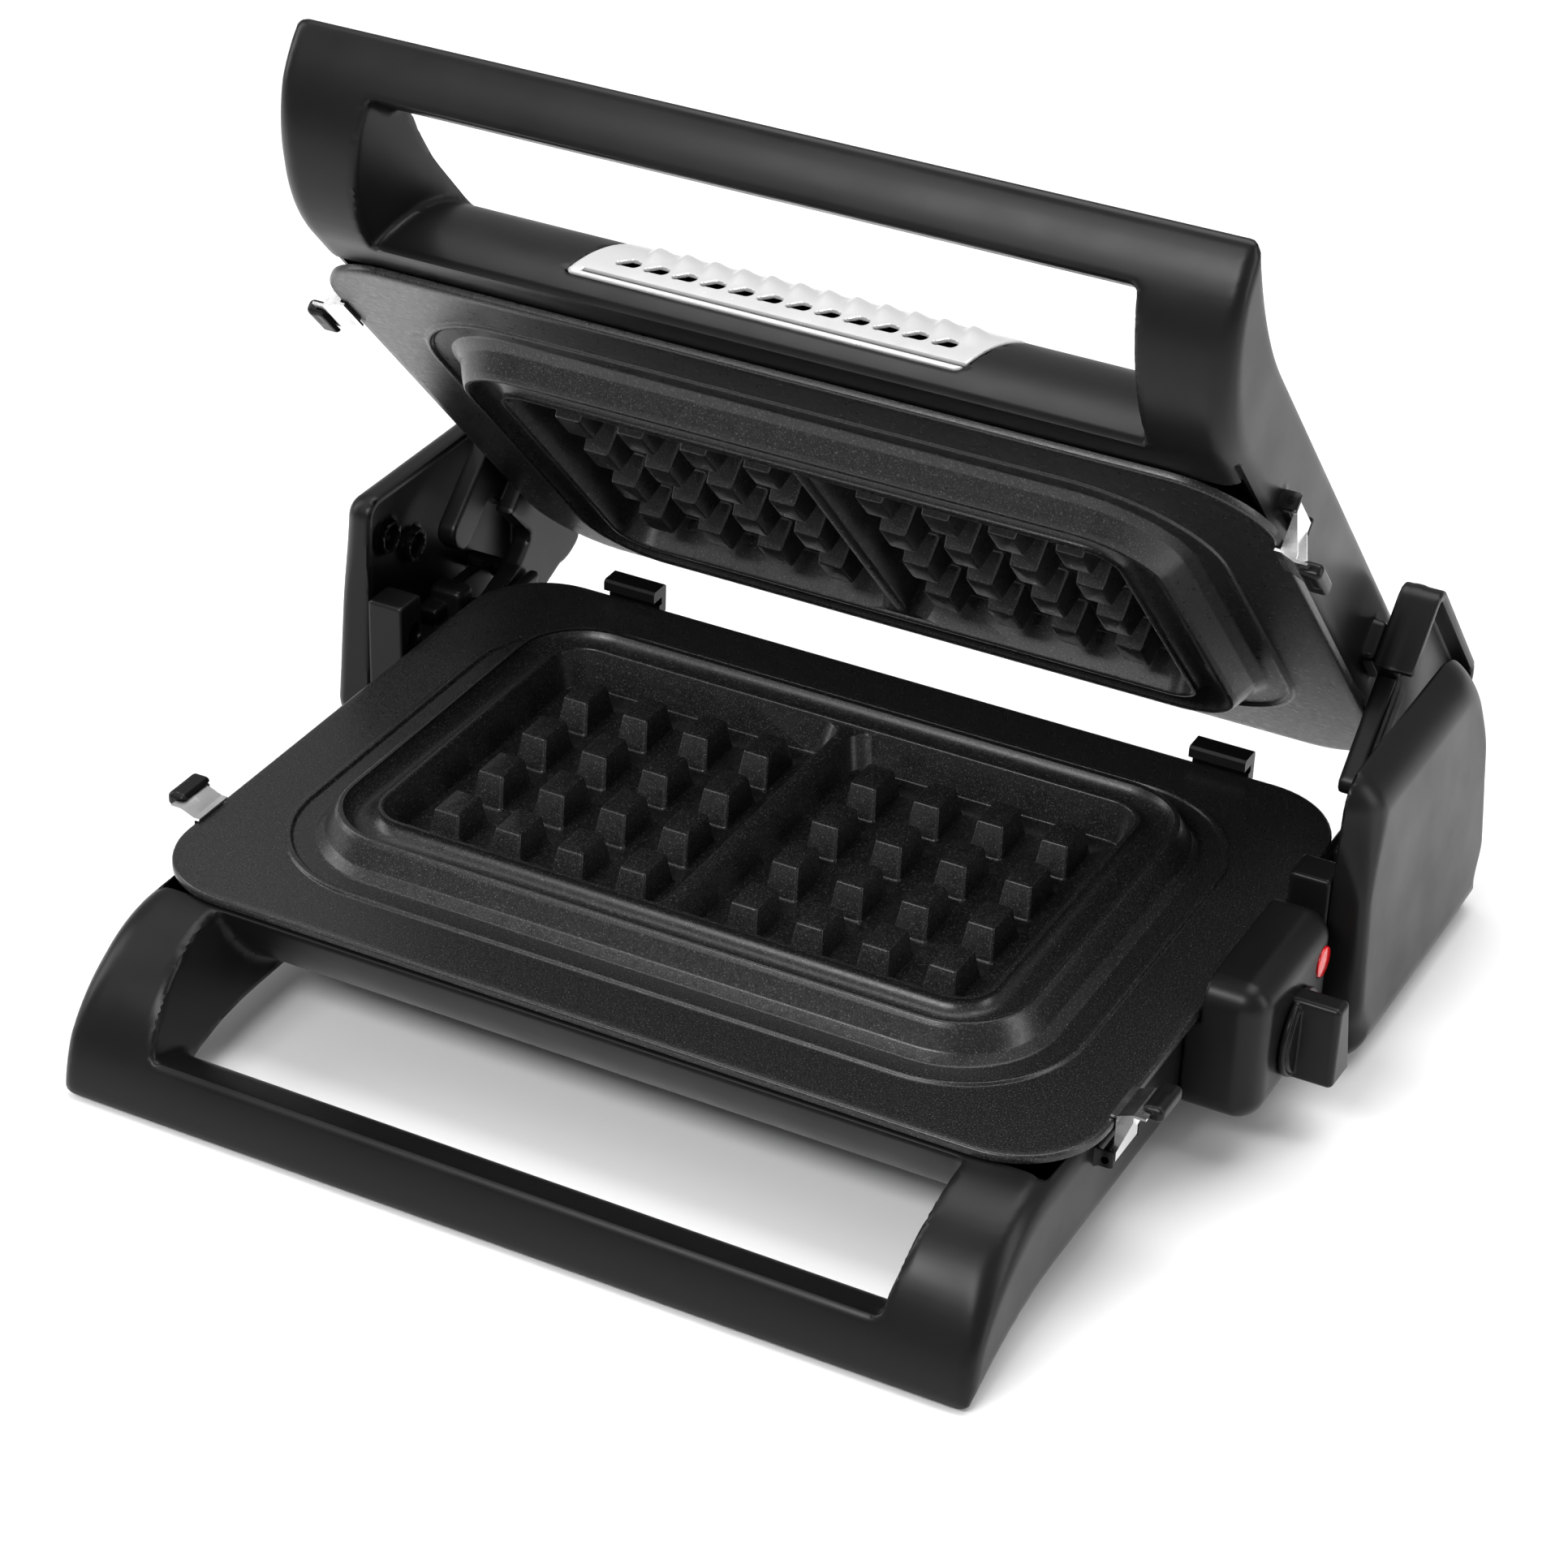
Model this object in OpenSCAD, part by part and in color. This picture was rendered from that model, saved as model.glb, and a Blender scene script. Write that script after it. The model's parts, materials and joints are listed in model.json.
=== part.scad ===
// Folding double waffle maker with two removable cast plates.
// Two moulded half housings with loop handles, side hinge posts, four plate
// clips, a thermostat knob and the heating parts inside.
// Units are millimetres, +Z is up, the table is z = 0.

/* [Overall] */
// Width of each cast plate
plate_w = 300; // [290:1:310]
// Depth of each cast plate
plate_d = 217.5; // [214:0.5:220]
// Height of the lower plate flange above the table
flange_h = 50; // [49:0.5:54]
// How far the lid stands open
open_angle = 47; // [0:1:47]

/* [Waffle pockets] */
// Pocket pitch across the plate
pitch_x = 21.2; // [20:0.1:21.6]
// Pocket pitch along the plate
pitch_y = 25.6; // [24:0.1:26]
// Width of a knob top
knob_top_w = 8.5; // [7:0.5:9]
// Depth of a knob top
knob_top_d = 13.1; // [11:0.1:14]
// How far a knob's foot spreads to each side, across the plate
knob_draft_x = 1.3; // [0.8:0.1:3]
// How far a knob's foot spreads to each side, along the plate
knob_draft_y = 2.8; // [0.8:0.1:3.4]
// Height of the sealing lips above the flange
lip_h = 10; // [9:0.5:11]

/* [Housings] */
// Half width of both housings
shell_x = 146; // [144:0.5:147]
// Wall thickness of the mouldings
wall = 3; // [2.5:0.1:3.5]
// How far the lid handle overhangs the base handle
handle_lead = 12; // [8:1:14]

/* [Hinge] */
// Distance of the hinge axis behind the plate centre
pivot_y = 99.4; // [99:0.1:100]
// Radius of the hinge pins
pin_r = 5; // [4:0.5:6]

/* [Controls] */
// Radius of the thermostat knob flange
knob_r = 13.6; // [12:0.1:14]

/* [Hidden] */
$fn = 48;
eps = 0.01;

origin_x = 2.2;
origin_y = 6.89;
pivot_z = -20.6;
closed_gap = 2 * lip_h + 0.4;
run_gap = 0.05;
fit_gap = 0.03;
foot_out = 0.6;

// Corner centres shared by the lips, gutter and shoulder
core_x = 89.1;
core_y = 48.7;
lip2_r = 11;
lip1_r = 22.6;
foot_r = 32;
pan_floor = -2.8;
pan_under = -5.6;
tooth_z = 7.6;
flange_t = 2.6;

// Housing sections, measured from the flange plane
rim_z = -3;
deck_z = -36;
base_rear = 114.5;
lid_rear = 125;
front_y = -110;
shoulder_r = 45.8;
shoulder_y = -66;
shoulder_z = deck_z + shoulder_r;
bar_y = 155.5;
arm_in = 120.5;

// Hinge posts
post_in = 165;
post_top = 48;
post_front = 43;
post_rear = 148.2;
post_rear_r = 24;
foot_x = 170.2;
web_in = 150.5;
web_out = 157;
cap_out = 163.2;
arm_screw_y = 56;
arm_screws_z = [37.5, 43.5];
post_screws_at = [[60, -24], [132, -41]];
post_bosses_at = [[66, 25], [81.5, 15]];
long_boss_at = [121.4, -9.7];

// Control box
box_out = 169.5;
box_floor = -35.5;
knob_y = 10;
knob_z = -16.2;
box_front = -18;
box_rear = 39;
lens_y = 29.2;
lens_z = -3.7;
lens_r = 4.8;
gland_z = -16;
grille_x = 2.2;
tray_floor = -26;

black = [0.05, 0.05, 0.055];
coating = [0.09, 0.09, 0.095];
steel = [0.72, 0.72, 0.73];
chrome = [0.85, 0.86, 0.88];
sheet = [0.62, 0.62, 0.62];
rubber = [0.03, 0.03, 0.03];
red = [0.85, 0.08, 0.08];
ceramic = [0.86, 0.83, 0.76];

// ---------- placing and shared helpers ----------

module place_base()
    translate([-origin_x, -origin_y, flange_h])
        children();

// Lid parts are drawn closed, then turned about the hinge axis
module place_arm()
    place_base()
        translate([0, pivot_y, pivot_z])
            rotate([-open_angle, 0, 0])
                translate([0, -pivot_y, -pivot_z])
                    children();

// The lid half is the base half turned over
module place_lid()
    place_arm()
        translate([0, 0, closed_gap])
            mirror([0, 0, 1])
                children();

module side(s)
    mirror([s < 0 ? 1 : 0, 0, 0])
        children();

// Draws a (y, z) outline and extrudes it from x0 to x1
module across(x0, x1)
    translate([x0, 0, 0])
        rotate([90, 0, 90])
            linear_extrude(x1 - x0)
                children();

// Draws an (x, z) outline and extrudes it from y0 to y1
module along(y0, y1)
    translate([0, y1, 0])
        rotate([90, 0, 0])
            linear_extrude(y1 - y0)
                children();

module box(a, b)
    translate(a)
        cube(b - a);

module rod_x(x0, x1, y, z, r)
    translate([x0, y, z])
        rotate([0, 90, 0])
            cylinder(h = x1 - x0, r = r);

module rod_y(y0, y1, x, z, r)
    translate([x, y1, z])
        rotate([90, 0, 0])
            cylinder(h = y1 - y0, r = r);

function arc(cx, cy, r, a0, a1, n) =
    [for (i = [0:n]) let (a = a0 + (a1 - a0) * i / n) [cx + r * cos(a), cy + r * sin(a)]];

// Rectangle with round corners, given as half sizes
module round_rect(hx, hy, r) {
    square([2 * hx, 2 * (hy - r)], center = true);
    square([2 * (hx - r), 2 * hy], center = true);
    for (sx = [-1, 1], sy = [-1, 1])
        translate([sx * (hx - r), sy * (hy - r)])
            circle(r);
}

// Sweeps a (radius, z) outline round the four corner centres
module loop_sweep(cx, cy) {
    for (q = [0:3])
        translate([q == 0 || q == 3 ? cx : -cx, q < 2 ? cy : -cy, 0])
            rotate([0, 0, 90 * q])
                rotate_extrude(angle = 90)
                    children();
    for (s = [0, 1])
        rotate([0, 0, 180 * s]) {
            translate([cx, cy, 0])
                rotate([90, 0, 0])
                    linear_extrude(2 * cy)
                        children();
            translate([-cx, cy, 0])
                rotate([90, 0, 90])
                    linear_extrude(2 * cx)
                        children();
        }
}

// ---------- cast plates ----------

// Section through cavity wall, inner lip, gutter, outer lip and shoulder
module plate_ring_profile()
    polygon(concat(
        [[6.6, pan_under], [7.4, pan_floor], [lip2_r - 0.7, lip_h - 0.4], [lip2_r, lip_h],
            [lip2_r + 1.1, lip_h]],
        arc((lip1_r + lip2_r + 1.1) / 2, lip_h + 1.6, 6.3, 200, 340, 8),
        [[lip1_r, lip_h], [lip1_r + 1.1, lip_h], [lip1_r + 2.2, lip_h - 0.8]],
        arc(foot_r + 0.4, 7.4, 7.4, 190, 268, 6),
        [[foot_r + 3, 0], [foot_r + 3, -flange_t], [foot_r - 4, -flange_t],
            [lip1_r + 1, lip_h - 5.6], [lip2_r + 2.6, lip_h - 7], [lip2_r + 2, pan_under]]));

// Row of drafted teeth about the origin, top width w and given pitch
module comb_profile(pitch, w, draft)
    for (i = [-1.5:1:1.5])
        translate([i * pitch, 0])
            polygon([[-w / 2 - draft, pan_floor - eps], [w / 2 + draft, pan_floor - eps],
                [w / 2, tooth_z], [-w / 2, tooth_z]]);

// Crossing two combs leaves a four by four grid of drafted knobs
module pocket_knobs()
    for (s = [-1, 1])
        translate([s * 50.2, 0, 0])
            intersection() {
                along(-52, 52)
                    comb_profile(pitch_x, knob_top_w, knob_draft_x);
                across(-45, 45)
                    comb_profile(pitch_y, knob_top_d, knob_draft_y);
            }

module waffle_plate() {
    difference() {
        translate([0, 0, -flange_t])
            linear_extrude(flange_t)
                round_rect(plate_w / 2, plate_d / 2, 28);
        translate([0, 0, -flange_t - 1])
            linear_extrude(flange_t + 2)
                round_rect(core_x + foot_r, core_y + foot_r, foot_r);
    }
    loop_sweep(core_x, core_y)
        plate_ring_profile();
    loop_sweep(core_x, core_y)
        polygon([[37.4, -1], [37.6, 0.5], [38.4, 1], [39.4, 1], [40.2, 0.5], [40.4, -1]]);
    translate([0, 0, pan_under])
        linear_extrude(pan_floor - pan_under)
            round_rect(core_x + 7.2, core_y + 7.2, 7.2);
    along(-core_y - 9, core_y + 9)
        polygon([[-6, pan_under + 1], [-5.4, pan_floor], [-2.2, 8.8], [2.2, 8.8],
            [5.4, pan_floor], [6, pan_under + 1]]);
    pocket_knobs();
}

// The lower plate also carries two pads for the rear hooks
module lower_waffle_plate()
    color(coating)
        place_base() {
            waffle_plate();
            for (s = [-1, 1])
                box([s * 104 - 9, 103.5, -1], [s * 104 + 9, plate_d / 2, 2.4]);
        }

// The upper plate hangs by two tongues hidden under the lid's rear edge
module upper_waffle_plate()
    color(coating)
        place_lid() {
            waffle_plate();
            for (s = [-1, 1])
                across(s * 104 - 8, s * 104 + 8)
                    polygon([[92.4, -1], [97, -1], [97, rim_z - wall - 0.3], [102, rim_z - wall - 0.3],
                        [102, rim_z - wall - 2], [92.4, rim_z - wall - 2]]);
        }

// ---------- half housings ----------

// Side view of a rail: flat rim, then the long drop of the loop handle
module rail_side_profile(rear)
    polygon(concat(
        [[rear, rim_z]],
        [for (a = [90:6:174]) [-108 + 47.5 * cos(a), -52 + 49 * sin(a)]],
        arc(-152.6, -46.6, 2.8, 180, 262, 4),
        [for (y = [-150:5:-100]) [y, deck_z - 13.4 * pow((-100 - y) / 54, 2)]],
        arc(rear - 14, deck_z + 14, 14, -90, 0, 6)));

// Front view of a rail: leaning grip wall inside, round edges outside
module rail_front_profile()
    polygon(concat(
        [[arm_in + 0.6, rim_z], [arm_in, rim_z - 0.6], [arm_in - 7, -50]],
        arc(shell_x - 4, -46, 4, -90, 0, 4),
        arc(shell_x - 8, rim_z - 8, 8, 0, 90, 6)));

module rail(rear)
    intersection() {
        across(arm_in - 8, shell_x)
            rail_side_profile(rear);
        along(-bar_y, rear)
            rail_front_profile();
    }

// Housing section with the round front shoulder; inset makes the cavity
module body_profile(rear, inset = 0)
    polygon(concat(
        [[front_y + inset * 1.05, rim_z + inset * 0.4]],
        arc(shoulder_y, shoulder_z, shoulder_r - inset, 197, 270, 14),
        arc(rear - 14, deck_z + 14, 14 - inset, -90, 0, 6),
        [[rear - inset, rim_z + inset * 0.4]]));

// The grip bar is the front of the rail section, with its own top slope
module bar_profile()
    intersection() {
        rail_side_profile(0);
        polygon(concat(
            [[-160, -60], [-160, -31.2], [-151.3, -31.2]],
            arc(-141.2, -41.8, 7.4, 68, 0, 5),
            [[-133.8, -60]]));
    }

// Plan outline: tight front corners, round rear corners
module plan_profile(rear) {
    translate([0, (rear - 24 - bar_y + 4) / 2])
        square([2 * shell_x, rear - 24 + bar_y - 4], center = true);
    translate([0, -bar_y / 2])
        square([2 * (shell_x - 4), bar_y], center = true);
    translate([0, rear / 2])
        square([2 * (shell_x - 24), rear], center = true);
    for (s = [-1, 1]) {
        translate([s * (shell_x - 4), 4 - bar_y])
            circle(4);
        translate([s * (shell_x - 24), rear - 24])
            circle(24);
    }
}

module half_housing(rear)
    difference() {
        intersection() {
            union() {
                for (s = [-1, 1])
                    side(s)
                        rail(rear);
                across(-arm_in - 2, arm_in + 2)
                    body_profile(rear);
                across(-arm_in - 2, arm_in + 2)
                    bar_profile();
            }
            translate([0, 0, -60])
                linear_extrude(60)
                    plan_profile(rear);
        }
        intersection() {
            across(wall - shell_x, shell_x - wall)
                body_profile(rear, wall);
            translate([0, 0, -60])
                linear_extrude(60)
                    round_rect(shell_x - wall, rear - wall, 21);
        }
    }

// Top skin behind the plate
module rear_land(y0, rear)
    intersection() {
        box([-shell_x + wall - eps, y0, rim_z - wall], [shell_x - wall + eps, rear - wall + eps, rim_z]);
        translate([0, 0, -60])
            linear_extrude(60)
                plan_profile(rear);
    }

// Two ears that hold a clip pin on the side of a housing
module clip_ears(y0, y1)
    for (s = [-1, 1])
        side(s)
            for (y = [y0 - 2.2, y1 + 0.4])
                difference() {
                    box([shell_x - 1, y, -16], [151.4, y + 1.8, -10]);
                    rod_y(y - 1, y + 3, 149, -13, 1.25);
                }

module base_shell()
    color(black)
        place_base() {
            difference() {
                union() {
                    half_housing(base_rear);
                    rear_land(103, base_rear);
                    for (sx = [-1, 1], y = [-54, 89])
                        translate([sx * 90, y, deck_z + wall - eps])
                            cylinder(h = 2.5, r = 3.6);
                }
                // service opening underneath, its screws, knob shaft, gland and feet
                box([-84, -50, -40], [84, 85, deck_z + wall + 1]);
                for (sx = [-1, 1], y = [-54, 89])
                    translate([sx * 90, y, deck_z - 1])
                        cylinder(h = 8, r = 1.45 + fit_gap);
                rod_x(shell_x - 8, shell_x + 1, knob_y, knob_z, 9);
                rod_y(base_rear - 8, base_rear + 1, 96, gland_z, 5 + fit_gap);
                for (s = [-1, 1])
                    translate([s * 128, -147, -51])
                        cylinder(h = 7.4, r = 4.6 + fit_gap);
            }
            clip_ears(-77, -62);
        }

module base_bottom_cover()
    color(black)
        place_base()
            difference() {
                translate([0, 17.5, deck_z - 2.2])
                    linear_extrude(2.2)
                        round_rect(104, 79, 8);
                for (sx = [-1, 1], y = [-54, 89])
                    translate([sx * 90, y, deck_z - 3])
                        cylinder(h = 4, r = 2.2);
                for (x = [-60:15:60])
                    box([x - 2, -10, deck_z - 3], [x + 2, 40, deck_z + 1]);
            }

module bottom_cover_screws()
    color(steel)
        place_base()
            for (sx = [-1, 1], y = [-54, 89])
                translate([sx * 90, y, deck_z - 4.2]) {
                    difference() {
                        cylinder(h = 2, r = 3.6);
                        translate([0, 0, 0.5])
                            cube([4.6, 0.9, 1.2], center = true);
                    }
                    cylinder(h = 9, r = 1.45);
                }

module lid_shell()
    color(black)
        place_lid()
            difference() {
                union() {
                    translate([0, -handle_lead, 0]) {
                        half_housing(lid_rear);
                        rear_land(105, lid_rear);
                        // front land, from the shoulder back to under the plate's edge
                        box([1 - shell_x, -108, rim_z - wall], [shell_x - 1, -94.5, rim_z]);
                    }
                    clip_ears(-77, -62);
                    // solid pads that take the arm screws
                    for (s = [-1, 1])
                        side(s)
                            box([shell_x - 8, 47.5, closed_gap - 47], [web_in - fit_gap, 66, closed_gap - 34]);
                }
                // slots under the rear land for the plate tongues
                for (s = [-1, 1])
                    box([s * 104 - 8.3, 92, rim_z - 4], [s * 104 + 8.3, 97.3, 1]);
                translate([grille_x, -handle_lead, 0])
                    across(-61.5, 61.5)
                        grille_window_profile(0.2);
                for (s = [-1, 1])
                    side(s)
                        for (z = arm_screws_z)
                            rod_x(shell_x - 6, web_in + 1, arm_screw_y, closed_gap - z, 1.5 + fit_gap);
            }

// ---------- vent grille ----------

module grille_window_profile(slack)
    polygon(concat(
        arc(shoulder_y, shoulder_z, shoulder_r + 2, 213 - slack, 249 + slack, 8),
        arc(shoulder_y, shoulder_z, shoulder_r - wall - 1, 249 + slack, 213 - slack, 8)));

module vent_grille()
    color(chrome)
        place_lid()
            translate([grille_x, -handle_lead, 0])
                difference() {
                    union() {
                        across(-61.2, 61.2)
                            polygon(concat(
                                arc(shoulder_y, shoulder_z, shoulder_r + 0.5, 213, 249, 8),
                                arc(shoulder_y, shoulder_z, shoulder_r - 1.8, 249, 213, 8)));
                        for (i = [0:12])
                            translate([-54 + 9 * i, shoulder_y, shoulder_z])
                                rotate([-48, 0, 0])
                                    translate([0, 0, -shoulder_r + 0.2])
                                        rotate([90, 0, 0])
                                            cylinder(h = 13, r = 2.4, center = true);
                    }
                    for (i = [0:11])
                        translate([-49.5 + 9 * i, shoulder_y, shoulder_z])
                            rotate([-43.5, 0, 0])
                                translate([0, 0, -shoulder_r - 4])
                                    cylinder(h = 9, r = 2.6);
                }

// ---------- trays and heating elements ----------

module reflector_tray()
    difference() {
        translate([0, 0, tray_floor])
            linear_extrude(20)
                round_rect(126, 86, 20);
        translate([0, 0, tray_floor + 1])
            linear_extrude(30)
                round_rect(125, 85, 19);
        for (x = [-12, 12])
            rod_y(80, 90, x, -10.5, 4.4);
    }

// Tubular element: a loop inside the tray with both ends at the rear
module heating_element() {
    z = -10.5;
    r = 3.4;
    for (s = [-1, 1])
        side(s) {
            rod_y(52, 92, 12, z, r);
            translate([26, 52, z])
                rotate([0, 0, 180])
                    rotate_extrude(angle = 90)
                        translate([14, 0])
                            circle(r);
            rod_x(26, 82, 38, z, r);
            translate([82, 24, z])
                rotate_extrude(angle = 90)
                    translate([14, 0])
                        circle(r);
            rod_y(-34, 24, 96, z, r);
            translate([82, -34, z])
                rotate([0, 0, -90])
                    rotate_extrude(angle = 90)
                        translate([14, 0])
                            circle(r);
        }
    rod_x(-82, 82, -48, z, r);
}

module lower_reflector_tray()
    color(sheet)
        place_base()
            reflector_tray();

module upper_reflector_tray()
    color(sheet)
        place_lid()
            reflector_tray();

module lower_heating_element()
    color(steel)
        place_base()
            heating_element();

module upper_heating_element()
    color(steel)
        place_lid()
            heating_element();

// ---------- rear hooks and plate clips ----------

module rear_plate_hooks()
    color(black)
        place_base()
            for (s = [-1, 1])
                translate([s * 104, 0, 0])
                    across(-9.4, 9.4)
                        polygon([[109.1, rim_z], [109.1, 0.6], [110.6, 0.6], [110.6, 3.2], [105.2, 3.2],
                            [105.2, 6.2], [106, 7], [112.6, 7], [113.4, 6.2], [113.4, rim_z]]);

// Spring steel clip, drawn on the +X side
module clip_plate(y0, y1) {
    along(y0, y1)
        polygon([[148.7, 0.4], [150.9, 0.4], [155.6, 2.2], [159, 2.2], [159, 3], [155.3, 3],
            [150.7, 1.2], [148.7, 1.2]]);
    box([150.4, y0, -12.4], [151.2, y1, 1.1]);
    difference() {
        union() {
            rod_y(y0, y1, 149, -13, 2.2);
            box([149.4, y0, -14], [151.2, y1, -12]);
        }
        rod_y(y0 - 1, y1 + 1, 149, -13, 1.2 + run_gap);
    }
    for (y = [y0, y1 - 0.8])
        along(y, y + 0.8)
            polygon([[150.9, 1], [155.4, 2.6], [155.4, 0.6], [151.2, -11]]);
}

module clip_tab(y0, y1)
    difference() {
        hull() {
            box([156.2, y0 + 1, 0.6], [162, y1 - 3, 5]);
            box([156, y0, 0], [160.5, y1 - 2, 4.4]);
            box([156, y0 + 2, 0], [163, y1 - 4, 3.6]);
        }
        box([155, y0 - 1, 2.15], [159.05, y1 + 1, 3.05]);
    }

module clip_pins()
    for (s = [-1, 1])
        rod_y(-79.2, -59.8, s * 149, -13, 1.2);

module lower_clip_pins()
    color(steel)
        place_base()
            clip_pins();

module upper_clip_pins()
    color(steel)
        place_lid()
            clip_pins();

module lower_clip(s)
    color(steel)
        place_base()
            side(s)
                clip_plate(-77, -62);

module upper_clip(s)
    color(steel)
        place_lid()
            side(s)
                clip_plate(-77, -62);

module lower_clip_tab(s)
    color(black)
        place_base()
            side(s)
                clip_tab(-74, -57);

module upper_clip_tab(s)
    color(black)
        place_lid()
            side(s)
                clip_tab(-74, -57);

// ---------- hinge posts ----------

// Side outline of a post from the table up; inset makes the hollow
module post_profile(inset = 0)
    polygon(concat(
        arc(post_front + 13, post_top - 12, 12 - inset, 175, 90, 6),
        arc(post_rear - post_rear_r, post_top - post_rear_r, post_rear_r - inset, 90, 4, 8),
        arc(147, foot_out - flange_h + 8, 8 - inset, 0, -90, 5),
        arc(post_front + 8, foot_out - flange_h + 9, 9 - inset, -90, -176, 5)));

// Plan section: the outer face leans out towards the table
module post_front_profile(inset = 0)
    polygon(concat(
        [[post_in - inset, -flange_h - 1], [post_in - inset, post_top + 1]],
        arc(post_in + 1.2, post_top - 10, 10 - inset, 85, 5, 7),
        arc(post_in + 5, foot_out - flange_h + 10, 10 - inset, 0, -85, 7)));

module post_cover(s)
    color(black)
        place_base()
            side(s) {
                rod_x(web_out + 0.6, post_in + 9, long_boss_at[0], long_boss_at[1], 3.2);
                difference() {
                    intersection() {
                        across(post_in, 181)
                            post_profile();
                        along(post_front - 2, 157)
                            post_front_profile();
                    }
                    difference() {
                        intersection() {
                            across(post_in - 1, 180)
                                post_profile(wall);
                            along(post_front - 2, 157)
                                post_front_profile(wall);
                        }
                        // screw posts, and the two open bosses above the ledge
                        for (p = post_screws_at)
                            rod_x(post_in + 2.3, 180, p[0], p[1], 4);
                        for (p = post_bosses_at)
                            rod_x(post_in + 5, 180, p[0], p[1], 5.8);
                        rod_x(post_in + 8, 180, long_boss_at[0], long_boss_at[1], 3.2);
                    }
                    for (p = post_bosses_at)
                        rod_x(post_in, post_in + 9, p[0], p[1], 4.2);
                    for (p = post_screws_at)
                        rod_x(post_in, post_in + 6.5, p[0], p[1], 1.6 + fit_gap);
                    for (y = [62, 142])
                        translate([foot_x, y, -flange_h - 1])
                            cylinder(h = 4, r = 4.1 + fit_gap);
                }
            }

// Bracket between base and cover: two cheeks round the arm hub
module hinge_bracket(s)
    color(black)
        place_base()
            side(s)
                difference() {
                    union() {
                        // ledge block with its flush front face
                        box([152, post_front - 0.6, foot_out - flange_h + 1.5], [post_in - 0.05, 54.4, 14.5]);
                        // rest block behind it, its head reaching in over the arm's path
                        box([web_out + 0.4, 72, foot_out - flange_h + 1.5], [post_in - 0.05, 88, -2]);
                        box([152.6, 79, -9], [post_in - 0.05, 88, 2.5]);
                        box([152, 53, foot_out - flange_h + 1.5], [post_in - 0.05, 66, -12]);
                        // inner and outer cheeks
                        box([shell_x + 0.05, 66, -35.5], [web_in - 0.4, 120, -6]);
                        across(cap_out + 0.3, post_in + 2.2)
                            polygon([[54, -46.4], [146, -46.4], [146, -40], [120, -8], [110, -4], [54, -4]]);
                        // floor of the bracket joins everything
                        box([shell_x + 0.05, 54, -41], [post_in + 2.2, 142, -35.5]);
                        box([152, 62, -24], [post_in, 80, -7.5]);
                        box([shell_x + 0.05, 66, -30], [153, 80, -6]);
                    }
                    rod_x(shell_x - 1, 170, pivot_y, pivot_z, pin_r + fit_gap);
                    rod_x(151, 160, 50.2, 2, 3.7);
                    rod_x(shell_x, 170, long_boss_at[0], long_boss_at[1], 3.2 + fit_gap);
                    for (p = post_screws_at)
                        rod_x(post_in - 3, post_in + 3, p[0], p[1], 1.6 + fit_gap);
                    for (p = post_screws_at)
                        rod_x(web_out, cap_out + 0.3, p[0], p[1], 3.6);
                }

module hinge_pins()
    color(steel)
        place_base()
            for (s = [-1, 1])
                side(s) {
                    rod_x(shell_x + 0.1, 170.5, pivot_y, pivot_z, pin_r);
                    rod_x(post_in + 2.25, post_in + 3.6, pivot_y, pivot_z, 8);
                }

module pin_retaining_rings()
    color(steel)
        place_base()
            for (s = [-1, 1])
                side(s)
                    difference() {
                        rod_x(169, 170, pivot_y, pivot_z, 7.5);
                        rod_x(168, 171, pivot_y, pivot_z, pin_r + fit_gap);
                        box([168, pivot_y - 2, pivot_z], [171, pivot_y + 2, pivot_z + 9]);
                    }

module post_screws()
    color(steel)
        place_base()
            for (s = [-1, 1])
                side(s)
                    for (p = post_screws_at) {
                        rod_x(cap_out - 1.8, cap_out + 0.2, p[0], p[1], 3.4);
                        rod_x(cap_out, post_in + 6, p[0], p[1], 1.6);
                    }

// ---------- lid arms ----------

// Closed-lid outline of the arm web, from the hub to the cap; its notch starts at y = front
module arm_web_profile(front)
    difference() {
        union() {
            polygon(concat(
                [[47, 32.5]],
                arc(53, 56, 6, 180, 90, 5),
                arc(110, 54, 8, 90, 20, 5),
                arc(112.4, 26, 16, 0, -48, 6),
                [[111.6, -16], [88, -16], [95.4, 2]],
                arc(91.4, 10, 4, 0, 86, 5),
                [[front, 13.4], [front, 32.5]]));
            translate([pivot_y, pivot_z])
                circle(13);
        }
        translate([pivot_y, pivot_z])
            circle(pin_r + run_gap);
    }

// Prong that drops behind the ledge block when the lid is closed
module prong_profile(width, tip_r, reach)
    polygon(concat(
        [[55.4 + reach, 33], [55.4, 33]],
        arc(55.4 + tip_r, -1.2, tip_r, 180, 270, 5),
        arc(55.4 + width - tip_r, -1.2, tip_r, 270, 360, 5),
        [[55.4 + width, 12.5], [55.4 + width + 2, 16], [55.4 + reach, 17]]));

// Raised rim of the cap: front edge, top edge and the rear corner
module arm_rim_profile()
    polygon(concat(
        [[47, 32.5]],
        arc(53, 56, 6, 180, 90, 5),
        arc(110, 54, 8, 90, 20, 5),
        [[122.6, 42], [119.6, 41]],
        arc(110, 54, 4.6, 16, 90, 4),
        arc(53, 55.6, 3, 90, 180, 4),
        [[50, 32.5]]));

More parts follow.
